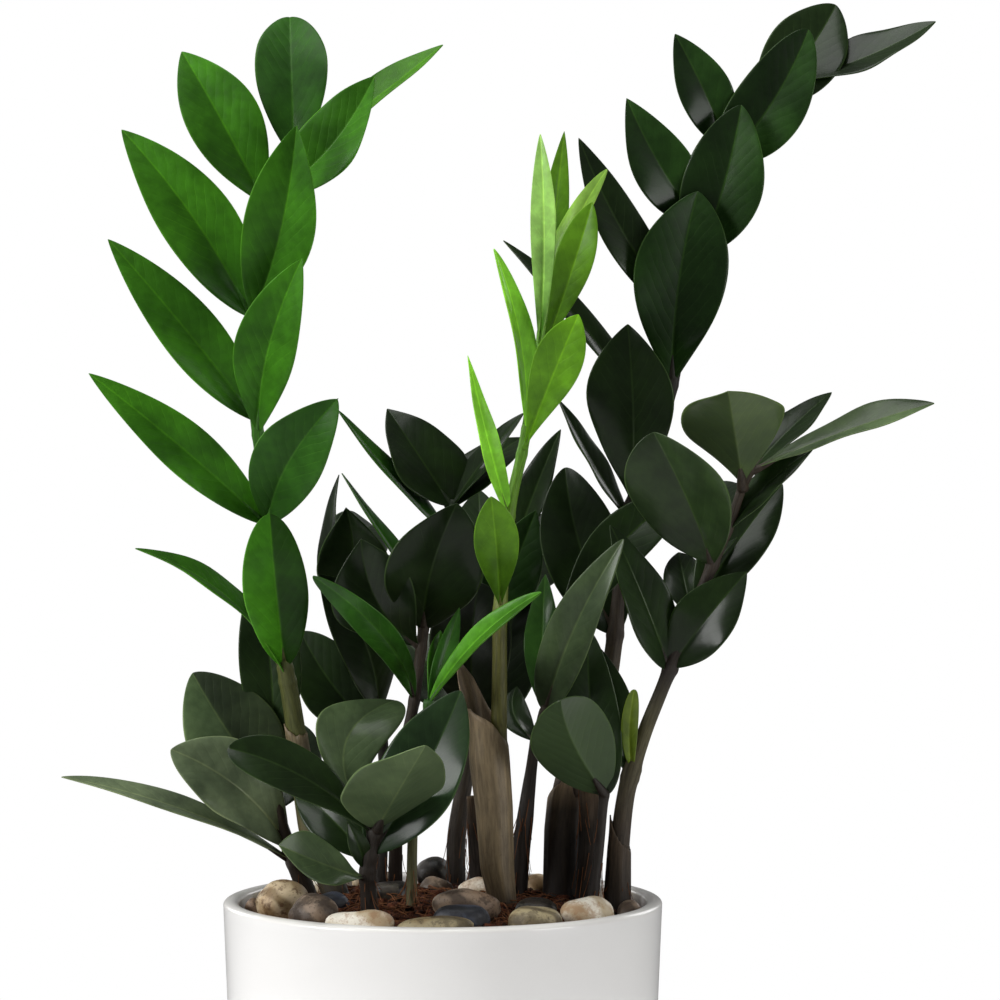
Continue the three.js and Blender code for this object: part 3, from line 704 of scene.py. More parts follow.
# %% The pebbles' rock
def rock_finish(name, low, high, spot, spots, gloss):
    """Rock: two tones in soft bands, darker spots, fine grain, and a water-worn shine."""
    made = Finish(name, roughness=gloss)
    place = made.here()
    tone = made.mix(made.step(made.bands(place, "DIAGONAL", 34, 11, 4), 0.15, 0.9), low, high)
    patch = made.step(made.noise(place, 150, 6, 0.72), 0.5, 0.6, 0, spots)
    tone = made.mix(patch, tone, spot)
    stain = made.step(made.noise(place, 60, 3, 0.55), 0.5, 0.62, 0, 0.5)
    tone = made.mix(stain, tone, made.tint(tone, (0.62, 0.45, 0.3, 1)))
    speck = made.step(made.noise(place, 900, 3, 0.7), 0.56, 0.66, 0, 0.6)
    made.paint(made.mix(speck, tone, spot), made.step(patch, 0, 1, gloss, gloss + 0.25))
    made.relief(made.noise(place, 380, 6, 0.7), 0.45, 0.0008)
    return made.material


# Kind, low and high tone, spots, how strong they are, gloss.
ROCKS = [
    (CREAM, "#c4b598", "#efe9da", "#a98560", 0.6, 0.5), (BEIGE, "#8f7a58", "#cdb997", "#62452a", 0.85, 0.46),
    (BROWN, "#54463a", "#8d7965", "#33271d", 0.7, 0.5), (OLIVE, "#6b5f45", "#a39674", "#453a28", 0.55, 0.5),
    (SLATE, "#1c1f27", "#3b404d", "#0f1014", 0.6, 0.46), (DARK, "#14110f", "#35302c", "#57503f", 0.3, 0.35),
]
rocks = {row[0]: rock_finish(*row) for row in ROCKS}
for i, (*form, kind) in enumerate(PEBBLES):
    name = f"pebble_{i + 1:02d}"
    make_piece(f"{name}_stone", [stone(*form, i)], rocks[kind], [name])
print("pebbles:", len(PEBBLES))

# %% [markdown]
# ## The colours of the plant
#
# The fronds are of different ages. The tall one on the left is bright, the young shoot is
# yellow-green, and the old ones are nearly black with a blue or grey cast. The palest grey-green
# tones and the palest young tone are partly painted sheen, and the shade tone is painted shade. Each
# leaflet and each height on a stem names one of a few tones. The tone is kept on the points of the
# mesh, and one graph of nodes turns it into veins, midrib, margin and underside.

# %% The plant's tones
TONES = {
    "bright": "#366f12", "spring": "#42771c", "fresh": "#316412", "leafy": "#275213", "lime": "#447d1c",
    # shade is a darker copy of dark: painted shade on leaflets deep in the foliage.
    "dark": "#18290d", "shade": "#101b0a", "ivy": "#1b350f", "wax": "#1f331a", "moss": "#2c5219",
    # pewter and silver are pale grey-greens: partly the waxy bloom of old leaflets, partly painted sheen of
    # the lamps on their gloss.
    "grey": "#283a1d", "pewter_sheen": "#46573a", "silver_sheen": "#69785c", "olive": "#37491f", "yellowed": "#5f7420",
    # mint is a pale young green that is partly painted sheen.
    "young": "#62991e", "sprout": "#527f1a", "vivid": "#90bf4e", "neon": "#90de3f", "mint_sheen": "#b6f07c",
    "straw": "#756750", "chaff": "#8d7a63", "stem_khaki": "#51511f", "stem_green": "#4f5428",
    "stem_lime": "#6d7c33", "stem_olive": "#504c33", "stem_brown": "#3b3126", "stem_dark": "#261f19",
    "bark": "#201812", "bark_pale": "#514233",
}
print("tones:", len(TONES))

# %% [markdown]
# ## The leaflets
#
# A leaflet of this plant is a thick, glossy, pointed oval. Its midrib is a groove above and a
# ridge below, its halves rise from it like a shallow V and flatten outward, and its margin
# waves a little. It could be cut from a plane and bent, but a formula in two numbers, how far
# along and how far across, keeps the outline, the bend and the veins in step.

# %% The leaflet's form
ROWS, COLUMNS = 44, 20
THICK = 0.8
# The lift is no form: it paints one half of a leaflet lighter and the other darker, as painted light and
# shade.
USUAL = dict(arch=0.07, sway=0.0, belly=0.47, plump=0.85, fold=17.0, twist=0.0, hook=0.0, lift=0.0)
CURL, WAVE = 0.06, 0.03
SWELLS, SWELL = 10.5, 0.16
GROOVE_WIDE, GROOVE_ABOVE, GROOVE_BELOW = 0.55, 0.3, 0.55
EDGE_ROUND = 26
TOWARDS_VIEWER = np.array([0, -1.0, 0])
chance = np.random.default_rng(5)


def leaf(at, tip, wide, roll, tone, **form):
    """One leaflet's numbers, with the usual form where none is given; its lift is painted light and shade on
    the halves.
    """
    return dict(at=at, tip=tip, wide=wide, roll=roll, tone=tone) | USUAL | form


def column(leaves, key):
    """One of the leaflets' numbers, with a row for each leaflet."""
    return np.array([one[key] for one in leaves], float).reshape(len(leaves), -1)


def outline(t, belly, plump):
    """Half the width as a share of the greatest: sin(pi t^e) ^ plump, greatest at the belly."""
    return np.sin(np.pi * t ** (np.log(0.5) / np.log(belly))) ** plump


def leaf_frames(roots, leaves):
    """Tip, length, face and side of each leaflet, and the point that its midrib is pulled to.

    The roll turns the face from the viewer about the line from root to tip. The arch pulls the
    midrib to the face, and the sway to the side.
    """
    tips, roll, arch, sway = (column(leaves, key) for key in ("tip", "roll", "arch", "sway"))
    long = np.linalg.norm(tips - roots, axis=-1, keepdims=True)
    along = (tips - roots) / long
    front = square_to(TOWARDS_VIEWER, along)
    roll = np.radians(roll)
    face = front * np.cos(roll) + np.cross(along, front) * np.sin(roll)
    side = np.cross(face, along)
    return tips, long, face, side, (roots + tips) / 2 + 2 * long * (arch * face + sway * side)


def leaflet_skins(roots, leaves):
    """The leaflets of a frond.

    At t along the midrib and s across, from -1 to 1, the point is midrib + side s half cos(fold) +
    normal (half (sin(fold) |s| - curl s^2) + margin wave + swell between the veins + skin - groove).
    """
    tips, long, face, side, pull = (value[:, None, None] for value in leaf_frames(roots, leaves))
    wide, belly, plump, fold, twist, hook, lift = (column(leaves, key)[:, None, None] for key in (
        "wide", "belly", "plump", "fold", "twist", "hook", "lift"))
    roots = roots[:, None, None]

    t = ((1 - np.cos(np.pi * np.arange(1, ROWS) / ROWS)) / 2)[None, :, None, None]
    v = np.linspace(-1, 1, COLUMNS + 1)
    s = v - 0.75 * np.sin(2 * np.pi * v) / (2 * np.pi)
    above = np.concatenate([s * 0 + 1, s[1:-1] * 0 - 1])[None, None, :, None]
    above[:, :, [0, COLUMNS]] = 0
    s = np.concatenate([s, s[-2:0:-1]])[None, None, :, None]

    midrib = bend(t, roots, pull, tips)
    tangent = unit(2 * (1 - t) * (pull - roots) + 2 * t * (tips - pull))
    normal = square_to(face, tangent)
    midrib = midrib - normal * long * hook * smooth(0.72, 1.0, t) ** 1.5
    turning = np.radians(twist) * (t - 0.45)
    side, normal = (side * np.cos(turning) + normal * np.sin(turning),
                    normal * np.cos(turning) - side * np.sin(turning))

    half = wide / 2 * outline(t, belly, plump)
    chances = chance.random((4, len(leaves)))[..., None, None, None]
    fold = np.radians(fold)
    out = np.abs(s)
    slim = np.sin(np.pi * t)
    rise = half * (np.sin(fold) * (np.sqrt(out**2 + 0.004) - 0.063) - CURL * out**2)
    beat = 2 * np.pi * (t * (1.3 + chances[0]) + np.where(s > 0, chances[1], chances[2]))
    rise = rise + WAVE * wide * out**3 * np.sin(beat) * slim
    slant = (t * long - 1.6 * out * half) / (long / SWELLS) + chances[3]
    rise = rise + SWELL * slim * np.abs(np.sin(np.pi * slant)) ** 0.7 * out * (1 - out) * 4
    skin = THICK / 2 * np.sqrt(np.clip(1 - out**EDGE_ROUND, 0, 1)) * (0.4 + 0.6 * slim**0.5)
    groove = np.exp(-((s * half / GROOVE_WIDE) ** 2)) * (1.05 - t)
    rise = rise + above * skin - groove * np.where(above > 0, GROOVE_ABOVE, GROOVE_BELOW)
    rows = midrib + side * (s * half * np.cos(fold)) + normal * rise

    tone = np.array([linear(TONES[one["tone"]]) for one in leaves])[:, None, None]
    # The tone differs a little at random from leaflet to leaflet. The lift paints one half of the blade
    # lighter and the other darker across the midrib: painted light and shade.
    tone = tone * (0.95 + 0.1 * chances[0]) * (1 - lift * np.tanh(s / 0.04))
    marks = np.concatenate(np.broadcast_arrays(s * half, t * long, out), -1)
    under = np.concatenate(np.broadcast_arrays((1 - above) / 2, chances[1], t), -1)
    ends = roots[:, 0, 0], (tips - face * long * hook)[:, 0, 0]
    return Skins(rows, *ends, tone=tone, marks=marks, under=under)


print("usual form:", USUAL)

# %% [markdown]
# ## The leaflet's skin
#
# The upper skin is dark and waxy, and side veins leave the midrib at a slant. On the real leaf
# the veins are paler, the margin is a thin pale line, and the underside is paler and duller.
# The pattern is worked out from millimetres across and along the blade, kept on its points, so
# it follows every bend. Painted textures would need a picture for each leaf.

# %% The leaflet's finish
VEIN_STEP = 6.2


GLOW = (0.005, 0.01, 0.001, 1)
DARK_GLOW = (0.012, 0.022, 0.006, 1)
RIM_GLOW = (0.02, 0.035, 0.008, 1)


def leaf_finish(name, gloss, wax, vein_share, rim_share, glow=GLOW):
    """Waxy leaf: the tone, mottled, with veins, midrib, margin and a paler underside."""
    made = Finish(name, roughness=gloss, specular=0.1, Coat_Weight=wax, Coat_Roughness=0.2)
    place = made.here()
    across, along, out = made.node("SeparateXYZ", made.kept("marks")).outputs
    under, luck, share = made.node("SeparateXYZ", made.kept("under")).outputs
    wide = made.math("ABSOLUTE", across)
    drift = made.times(made.math("SUBTRACT", made.noise(place, 90, 2), 0.5), 5)
    slant = made.plus(made.math("SUBTRACT", along, made.times(wide, 1.6)), drift)
    slant = made.plus(made.math("DIVIDE", slant, VEIN_STEP), luck)
    wave = made.math("ABSOLUTE", made.math("SINE", made.times(slant, math.pi)))
    inner = made.step(out, 0.97, 0.6)
    shown = made.times(inner, made.step(share, 0.95, 0.8))
    shown = made.times(shown, made.step(made.noise(place, 33, 2), 0.42, 0.62, 0.15, 1.0))
    vein = made.times(made.step(wave, 0.16, 0.02), shown)
    midrib = made.step(made.plus(wide, made.times(share, 0.35)), 0.85, 0.3)
    rim = made.step(out, 0.955, 0.985)

    mottle = made.step(made.noise(place, 42, 3), 0.3, 0.7)
    tone = made.tint(made.kept("tone", "Color"), made.mix(mottle, (0.6, 0.62, 0.6, 1), (1.3, 1.28, 1.2, 1)))
    fleck = made.step(made.noise(place, 260, 4, 0.6), 0.35, 0.65)
    tone = made.tint(tone, made.mix(fleck, (0.9, 0.9, 0.9, 1), (1.1, 1.1, 1.08, 1)))
    pale = made.mix(1.0, made.tint(tone, (1.9, 1.7, 1.5, 1)), glow, "ADD")
    tone = made.mix(made.times(vein, vein_share), tone, pale)
    tone = made.mix(made.times(midrib, 0.55), tone, pale)
    dull = made.mix(0.45, made.tint(tone, (1.3, 1.15, 1.3, 1)), (0.075, 0.12, 0.055, 1))
    tone = made.mix(made.times(under, 0.8), tone, dull)
    tone = made.mix(made.times(rim, rim_share), tone, made.mix(1.0, pale, RIM_GLOW, "ADD"))
    made.paint(tone, made.plus(made.step(under, 0, 1, gloss, gloss + 0.2), made.times(fleck, 0.08)))
    height = made.math("SUBTRACT", made.times(wave, 0.5), made.times(vein, 0.25))
    height = made.plus(height, made.times(made.noise(place, 520, 3), 0.12))
    made.relief(made.times(height, inner), 0.35, 0.0004)
    return made.material


leaf_skins = {
    "leaf_green": leaf_finish("leaf_green_skin", 0.5, 0.06, 0.45, 0.7),
    "leaf_dark": leaf_finish("leaf_dark_skin", 0.5, 0.3, 0.36, 0.5, DARK_GLOW),
    "leaf_young": leaf_finish("leaf_young_skin", 0.5, 0.15, 0.22, 0.5),
}
print("leaf finishes:", ", ".join(leaf_skins))

# %% [markdown]
# ## The stems
#
# Each frond's stalk is thick at its foot and thins upward, with a faint ring and a small swelling
# where each leaflet sits. A tube along a smooth curve does for all of them. The curve passes
# through measured places, and the radius and the colour are blended from one place to the next.

# %% The line of a stem
def stem_point(places, u):
    """The centripetal Catmull-Rom curve through the places, at shares u from 0 to 1."""
    p = np.array(places, float)[:, :3]
    p = np.concatenate([[2 * p[0] - p[1]], p, [2 * p[-1] - p[-2]]])
    u = np.asarray(u, float) * (len(places) - 1)
    i = np.minimum(u.astype(int), len(places) - 2)
    w = (u - i)[..., None]
    a, b, c, d = (p[i + k] for k in range(4))
    ab, bc, cd = (np.sqrt(np.linalg.norm(m - n, axis=-1, keepdims=True))
                  for m, n in ((a, b), (b, c), (c, d)))
    leave = bc * ((b - a) / ab - (c - a) / (ab + bc) + (c - b) / bc)
    enter = bc * ((c - b) / bc - (d - b) / (bc + cd) + (d - c) / cd)
    return b + leave * w + (3 * (c - b) - 2 * leave - enter) * w**2 + (2 * (b - c) + leave + enter) * w**3


def share_at(places, heights):
    """The shares of the way at which a rising stem reaches the given heights."""
    u = np.linspace(0, 1, 1501)
    return np.interp(heights, stem_point(places, u)[:, 2], u)


def stem_radius(places, u):
    """The radius at shares of the way, straight from one place to the next."""
    return np.interp(np.asarray(u) * (len(places) - 1), np.arange(len(places)), [p[3] for p in places])


def stem_frame(places, u):
    """Middle, tangent, across (to the right) and near (towards the viewer) at shares of the way."""
    middle = stem_point(places, u)
    before, after = (stem_point(places, np.clip(u + step, 0, 1)) for step in (-0.002, 0.002))
    tangent = unit(after - before)
    across = square_to(np.array([1.0, 0, 0]), tangent)
    return middle, tangent, across, np.cross(across, tangent)


def tone_at(bark, z):
    """The stem's colour at heights, blended between the named tones."""
    stops = [stop for stop, _ in bark]
    tones = np.array([linear(TONES[tone]) for _, tone in bark])
    return np.stack([np.interp(z, stops, tones[:, k]) for k in range(3)], -1)


print("halfway up a short straight stem:", stem_point([(0, 0, 0, 1), (0, 0, 10, 1)], np.array([0.5]))[0])

# %% Stalks, joints and sheaths
SIDES, JOINT_SIDES, SHEATH_SIDES = 20, 12, 48
JOINT_REACH = 0.16
SHEATH_FRAY, SHEATH_THICK, SHEATH_FLARE = 0.6, 0.5, 0.0044
SHEATH_OUTSIDE, SHEATH_INSIDE = 34, 16


def stem_skin(places, bark, rings, rough):
    """The stalk: middle + radius (cos a across + sin a near), with rings and rough bark.

    The radius grows by a tenth in a ring at each leaflet, and by ridges of noise, drawn out
    along the stalk, where the rough table says so.
    """
    long = np.linalg.norm(np.diff(stem_point(places, np.linspace(0, 1, 200)), axis=0), axis=1).sum()
    u = np.linspace(0, 1, max(24, int(long / 1.5)))
    middle, tangent, across, near = stem_frame(places, u)
    angle = round_angles(SIDES)
    z = middle[:, 2:]
    swell = 1 + 0 * z
    for at in rings:
        swell = swell + 0.1 * np.exp(-(((z - at) / 1.3) ** 2)) + 0.06 * np.exp(-(((z - at) / 4) ** 2))
    place = on_ring(angle, 1.9, z / 26)
    ridge = noise(place + places[0][0]) + 0.5 * noise(place * (2.4, 2.4, 2) + 7)
    depth = np.interp(z, *zip(*rough))
    radius = stem_radius(places, u)[:, None] * (swell + depth * ridge)
    way = across[:, None] * np.cos(angle)[:, None] + near[:, None] * np.sin(angle)[:, None]
    rows = middle[:, None] + radius[..., None] * way
    tone = tone_at(bark, z[:, 0])[:, None] * (1 + 0.5 * np.clip(depth * ridge * 3, -0.6, 0.6))[..., None]
    return Skins(rows[None], middle[:1] - tangent[:1] * 0.3, middle[-1:] + tangent[-1:] * 0.3,
                 tone=tone[None], grain=(place * (3, 3, 4))[None])


def joint_skins(roots, leaves, bark):
    """The short swollen joints that hold the leaflets: tapered tubes along the first of each midrib."""
    tips, _, face, side, pull = (value[:, None] for value in leaf_frames(roots, leaves))
    share = np.linspace(0, 1, 12)
    line = bend(JOINT_REACH * share[None, :, None], roots[:, None], pull, tips)
    radius = (0.045 * column(leaves, "wide") + 0.45) * (1 - share**1.6 * 0.85)
    line = line - face * radius[..., None] * 0.45
    tangent = unit(np.gradient(line, axis=1))
    across = square_to(side, tangent)
    rows = tube_rows(line, across, np.cross(across, tangent), radius, JOINT_SIDES)
    tone = tone_at(bark, roots[:, 2])[:, None, None] * 0.9
    return Skins(rows, line[:, 0], line[:, -1] + tangent[:, -1] * 0.2, tone=tone, grain=rows * (1, 1, 0.3))


def sheath_skin(places, tops, bark):
    """A papery sheath round a stem: a cup that goes up outside, over its edge and down inside.

    The edge stands at another height on each side, as the tops table says: (degrees, height),
    where 0 is right, 90 away and 270 near. Its points are middle + radius (cos a, sin a), with
    fine ribs along the sheath, and above the lowest part of the edge the wall flares outward.
    """
    angle = round_angles(SHEATH_SIDES)
    edge = np.interp(np.degrees(angle), *zip(*tops))
    edge = edge + SHEATH_FRAY * noise(on_ring(angle, 9, places[0][0]))
    rise = np.concatenate([np.linspace(0, 1, SHEATH_OUTSIDE), np.linspace(1, 0.5, SHEATH_INSIDE)])[:, None]
    inner = np.repeat([0, 1], [SHEATH_OUTSIDE, SHEATH_INSIDE])[:, None]
    start = places[0][2]
    z = start + (edge - start) * rise
    x, y, radius = (np.interp(z, [p[2] for p in places], [p[k] for p in places]) for k in (0, 1, 3))
    ribs = noise(on_ring(angle, 4.2, z / 30))
    flare = np.clip(z - min(height for _, height in tops), 0, 30)
    radius = radius * (1 + 0.03 * ribs) - SHEATH_THICK * inner + SHEATH_FLARE * flare**2
    rows = on_ring(angle, radius, z) + np.stack([x, y, 0 * z], -1)
    tone = tone_at(bark, z.ravel()).reshape(*z.shape, 3) * (1 + 0.14 * ribs[..., None])
    # The inner wall is painted darker than the outside: painted shade inside the sheath.
    tone = tone * (1 - 0.45 * inner[..., None])
    return Skins(rows[None], rows[:1].mean(1), rows[-1:].mean(1), tone=tone[None],
                 grain=on_ring(angle, 6, z / 9)[None])


print("sides of a stem and of a sheath:", SIDES, SHEATH_SIDES)


# %% The stem's finish
def stem_finish(name, gloss):
    """Stalk skin: the tone, streaked along the stalk, with small pale and dark flecks."""
    made = Finish(name, roughness=gloss, specular=0.4)
    grain = made.kept("grain")
    streak = made.step(made.noise(grain, 0.9, 4, 0.6), 0.3, 0.7)
    shades = made.mix(streak, (0.68, 0.66, 0.62, 1), (1.3, 1.28, 1.2, 1))
    tone = made.tint(made.kept("tone", "Color"), shades)
    fleck = made.step(made.noise(made.here(), 800, 3, 0.6), 0.6, 0.72, 0, 0.35)
    tone = made.mix(fleck, tone, made.tint(tone, (0.35, 0.32, 0.3, 1)))
    made.paint(tone, made.step(streak, 0, 1, gloss + 0.12, gloss))
    made.relief(made.noise(grain, 2.2, 4, 0.65), 0.35, 0.0005)
    return made.material


stem_skins = {
    "leaf_green": stem_finish("stem_green_skin", 0.45), "leaf_dark": stem_finish("stem_dark_skin", 0.5),
    "leaf_young": stem_finish("stem_young_skin", 0.42), "old_stalk": stem_finish("old_stalk_skin", 0.85),
}
print("stem finishes:", ", ".join(stem_skins))

# %% [markdown]
# ## The fronds
#
# This table holds the whole plant. Each frond has the places of its stem, with the radius there,
# from the buried foot to the top. Then come its bark, as tones at heights, how rough it is, its
# papery sheath if it has one, and its leaflets.
# Places are in millimetres as they line up on the middle plane, with the depth as the second
# number, so a leaflet can be compared with the photograph directly.

# %% The fronds on the left
# stem: places and radius; bark: height and tone; rough: height and depth of the bark's ridges;
# leaf(height where it leaves the stem, tip, width, turn of its face in degrees, tone, form), where
# the lift among the form paints one half lighter and the other darker: painted light and shade.
SMOOTH = [(0, 0.0)]
FRONDS = {}
FRONDS["frond_left_tall"] = dict(
    stem=[(-37, 10, 96, 5.2), (-38.5, 11, 139, 4.6), (-48, 14, 165, 4.2), (-53, 13, 196, 3.6),
          (-55.5, 8, 212, 3.4), (-58, 3, 226, 2.6), (-62, -5, 256, 2.4), (-65.5, -12, 290, 2.2),
          (-69, -19, 325, 2), (-70, -25, 360, 1.8), (-67.5, -28, 386, 1.5), (-60, -29, 403, 1.3),
          (-53, -29, 413, 1.1)],
    bark=[(139, "stem_dark"), (160, "stem_olive"), (200, "stem_green"), (225, "stem_green"),
          (240, "bright")],
    slot="leaf_green",
    sheath=dict(
        places=[(-37, 10, 128, 5.8), (-38.5, 11, 139, 5.2), (-48, 14, 165, 4.8), (-53, 13, 196, 4.1),
                (-54.5, 10, 206, 3.9)],
        tops=[(0, 200), (90, 204), (180, 203), (270, 199), (360, 200)],
        bark=[(139, "stem_dark"), (160, "stem_olive"), (192, "stem_olive"), (201, "straw")],
    ),
    leaves=[
        leaf(219, (-112.5, -14, 267.5), 20, 70, "fresh", arch=0.12),
        leaf(224, (-63.5, -34, 279), 25, -4, "fresh", belly=0.6, plump=0.5, hook=0.05, lift=-0.65),
        leaf(276, (-129.5, -30, 331.5), 21, 12, "bright", fold=23),
        leaf(276, (-39.5, -58, 321), 29, -9, "leafy", fold=23, sway=0.05, belly=0.57,
             plump=0.72, hook=0.04),
        leaf(314, (-122.5, -32, 380.5), 24, 10, "bright", fold=23, lift=-0.05),
        leaf(309, (-51.5, -56, 373.5), 26, -18, "bright", fold=23, sway=0.03, belly=0.54, lift=-0.05),
        leaf(352, (-117.5, -30, 420.5), 30, 8, "bright", fold=23, sway=-0.03, lift=0.15),
        leaf(352, (-53.5, -60, 422), 30, -14, "bright", fold=23, sway=-0.06, belly=0.54, lift=0.12),
        leaf(393, (-95.5, -24, 449), 30, 10, "bright", fold=23, belly=0.53, lift=0.2),
        leaf(396, (-25, -46, 440), 26, -24, "fresh", fold=23, sway=-0.12, belly=0.54, lift=0.12),
        leaf(411, (-56, -2, 461.5), 29, 0, "leafy", fold=23, arch=0.1, belly=0.55, plump=0.6),
        leaf(411, (0, -20, 451.5), 23, -62, "spring", fold=23, arch=-0.02),
    ],
)
FRONDS["frond_left_low"] = dict(
    stem=[(-44, 30, 96, 4), (-49, 28, 139, 3.6), (-53, 26, 150, 3.2), (-58.5, 22, 165, 2.4),
          (-62, 20, 180, 1.8), (-63, 20, 193, 1.3)],
    bark=[(139, "stem_dark"), (175, "stem_brown"), (193, "grey")],
    leaves=[
        leaf(153, (-139.5, -6, 184), 18, 68, "silver_sheen", arch=0.05, sway=0.02, belly=0.56),
        leaf(157, (-99.5, 4, 194), 31.5, 28, "silver_sheen", sway=-0.06, belly=0.6, plump=0.68),
        leaf(178, (-91.5, 20, 222), 37, 16, "pewter_sheen", sway=0.05, plump=0.7, lift=-0.6),
        leaf(172, (-54, 72, 205), 24, 10, "dark"),
        leaf(192, (-70, 30, 258), 24, 0, "dark", sway=-0.05),
    ],
)
print("fronds on the left:", len(FRONDS))

# %% The low and middle fronds
FRONDS["frond_front_left"] = dict(
    stem=[(-26, -32, 96, 4.6), (-27, -35, 136, 3.3), (-27.5, -38, 150, 2.6), (-24.5, -41, 165, 2.2)],
    bark=[(136, "bark"), (165, "stem_dark")],
    rough=[(136, 0.08), (165, 0.04)],
    leaves=[
        leaf(147, (-60, -74, 159), 21, 34, "pewter_sheen", sway=0.07, belly=0.7),
        leaf(150, (-35, -44, 168), 8, 10, "dark"),
        leaf(154, (-54, -20, 181), 20, 12, "dark"),
        leaf(156, (6.5, -36, 215.5), 33, -17, "wax", sway=-0.06, plump=0.72),
        leaf(163, (-17.5, -18, 212), 30, 18, "pewter_sheen", sway=0.33, belly=0.7, plump=0.67, twist=-18),
        leaf(163, (-78.6, -52, 194.6), 21, 25, "dark", sway=-0.05, belly=0.68, plump=0.5),
        leaf(165, (-6.5, -92, 195.5), 40, 216, "pewter_sheen", arch=-0.02, sway=-0.02, belly=0.42,
             plump=0.8, lift=0.2),
    ],
)
FRONDS["frond_front_small"] = dict(
    stem=[(-12, -15, 96, 2.6), (-11.5, -17, 138, 2), (-11, -18, 165, 1.8), (-9, -20, 190, 1.7),
          (-5, -23, 212, 1.5)],
    bark=[(138, "stem_olive"), (175, "stem_green"), (212, "leafy")],
    slot="leaf_young",
    leaves=[
        leaf(211, (36, -44, 251.5), 9.7, -42, "lime", arch=0.03, sway=0.06, belly=0.53,
             plump=0.6, fold=24, lift=-0.35),
        leaf(211, (-1, -10, 237.5), 8, 29, "fresh", sway=0.04, belly=0.56),
        leaf(210, (6, -13, 246), 8, 6, "leafy"),
    ],
)
FRONDS["frond_mid_left"] = dict(
    stem=[(-17, 28, 96, 3.6), (-17.5, 26, 143, 2.7), (-17, 18, 165, 2.3), (-15, 10, 190, 2.1),
          (-10.5, 4, 212, 2), (-7.5, 1, 235, 1.9), (-5, 0, 255, 1.6), (-1.5, 0, 272, 1.4),
          (4, 1, 285, 1.2)],
    bark=[(143, "bark"), (190, "stem_dark"), (240, "stem_brown"), (285, "dark")],
    leaves=[
        leaf(212, (-47.5, -36, 257.5), 13, -22, "leafy", sway=-0.12, belly=0.58, plump=0.6),
        leaf(231, (-30, -18, 271), 33.5, -17, "dark", sway=0.1, belly=0.59, plump=0.95),
        leaf(238, (5, -26, 284), 38, 14, "dark", sway=0.07, belly=0.53, plump=0.74),
        leaf(250, (-37, 8, 295), 12, 67, "leafy", arch=0.01, sway=0.06, belly=0.35, twist=22),
        leaf(275, (-38.5, -8, 318), 13.5, 65, "leafy", arch=0.01, sway=0.06, belly=0.37, plump=0.73),
        leaf(283, (-20.5, 12, 318.5), 34, 41, "dark", sway=0.06, belly=0.38, plump=0.92),
        leaf(283, (29.5, 8, 317), 15, -58, "dark", arch=0.02),
        leaf(282, (29, 26, 308), 20, -40, "dark"),
    ],
)
FRONDS["frond_back_left"] = dict(
    stem=[(-22, 40, 96, 3.8), (-23, 40, 142, 2.5), (-22, 44, 170, 2.2), (-22, 46, 195, 2),
          (-27, 44, 217, 1.9), (-34, 42, 238, 1.7), (-39, 40, 256, 1.5), (-40, 38, 268, 1.3)],
    bark=[(142, "bark"), (180, "stem_dark"), (268, "dark")],
    leaves=[
        leaf(205, (-45.5, 4, 258), 28, 30, "dark", sway=-0.06, belly=0.55),
        leaf(198, (-52, 54, 237), 29, 20, "dark", sway=0.08, plump=0.7),
        leaf(232, (-38, 44, 294.5), 17, -62, "shade", arch=0.08, sway=0.03, belly=0.43, plump=1.0),
        leaf(236, (-14, 88, 262), 27, 4, "dark"),
        leaf(250, (-35.5, 14, 282.5), 28, 6, "dark", sway=-0.08, plump=0.97),
        leaf(262, (-26, 84, 276), 24, -8, "dark"),
    ],
)
FRONDS["frond_back_centre"] = dict(
    stem=[(3, 44, 96, 4.4), (4.7, 44, 146, 3.5), (4.9, 45, 162, 3.4), (7.5, 46, 180, 3),
          (11, 48, 200, 2.6), (15, 49, 222, 2.3), (20, 49, 245, 1.9), (25, 48, 265, 1.5),
          (28, 47, 279, 1.2)],
    bark=[(146, "stem_dark"), (175, "stem_brown"), (279, "dark")],
    leaves=[
        leaf(206, (13, 24, 255), 32, -9, "shade", sway=0.03, belly=0.61, plump=0.45),
        leaf(206, (-14, 102, 234), 27, 6, "dark"),
        leaf(196, (31, 64, 258), 32, -4, "shade", plump=0.7),
        leaf(226, (13, 104, 289), 28, 0, "dark"),
        leaf(240, (34, 34, 281.5), 22, -4, "ivy"),
        leaf(246, (43, 106, 279), 28, -4, "shade"),
        leaf(264, (43, 34, 311), 15, -34, "dark", arch=0.02),
    ],
)
FRONDS["frond_front_centre"] = dict(
    stem=[(27.5, 9, 96, 3.8), (27.3, 8, 137, 3.5), (28.2, 6, 155, 3.4), (30, 4, 170, 2.9),
          (32, 3, 185, 2.1), (34, 1, 198, 1.8), (38, -2, 210, 1.6)],
    bark=[(137, "bark"), (180, "stem_dark"), (210, "stem_brown")],
    rough=[(140, 0.2), (185, 0.14), (195, 0.0)],
    leaves=[
        leaf(197, (27, 20, 217), 12, 0, "dark", sway=0.15),
        leaf(206, (91, 11, 290), 22, -9, "dark", sway=0.11, belly=0.7, plump=0.93),
        leaf(208, (37.5, 12, 258), 14, -16, "moss"),
        leaf(208, (66, -30, 271), 20, -24, "pewter_sheen", sway=0.01, belly=0.39, plump=0.7),
    ],
)
print("with the middle:", len(FRONDS))

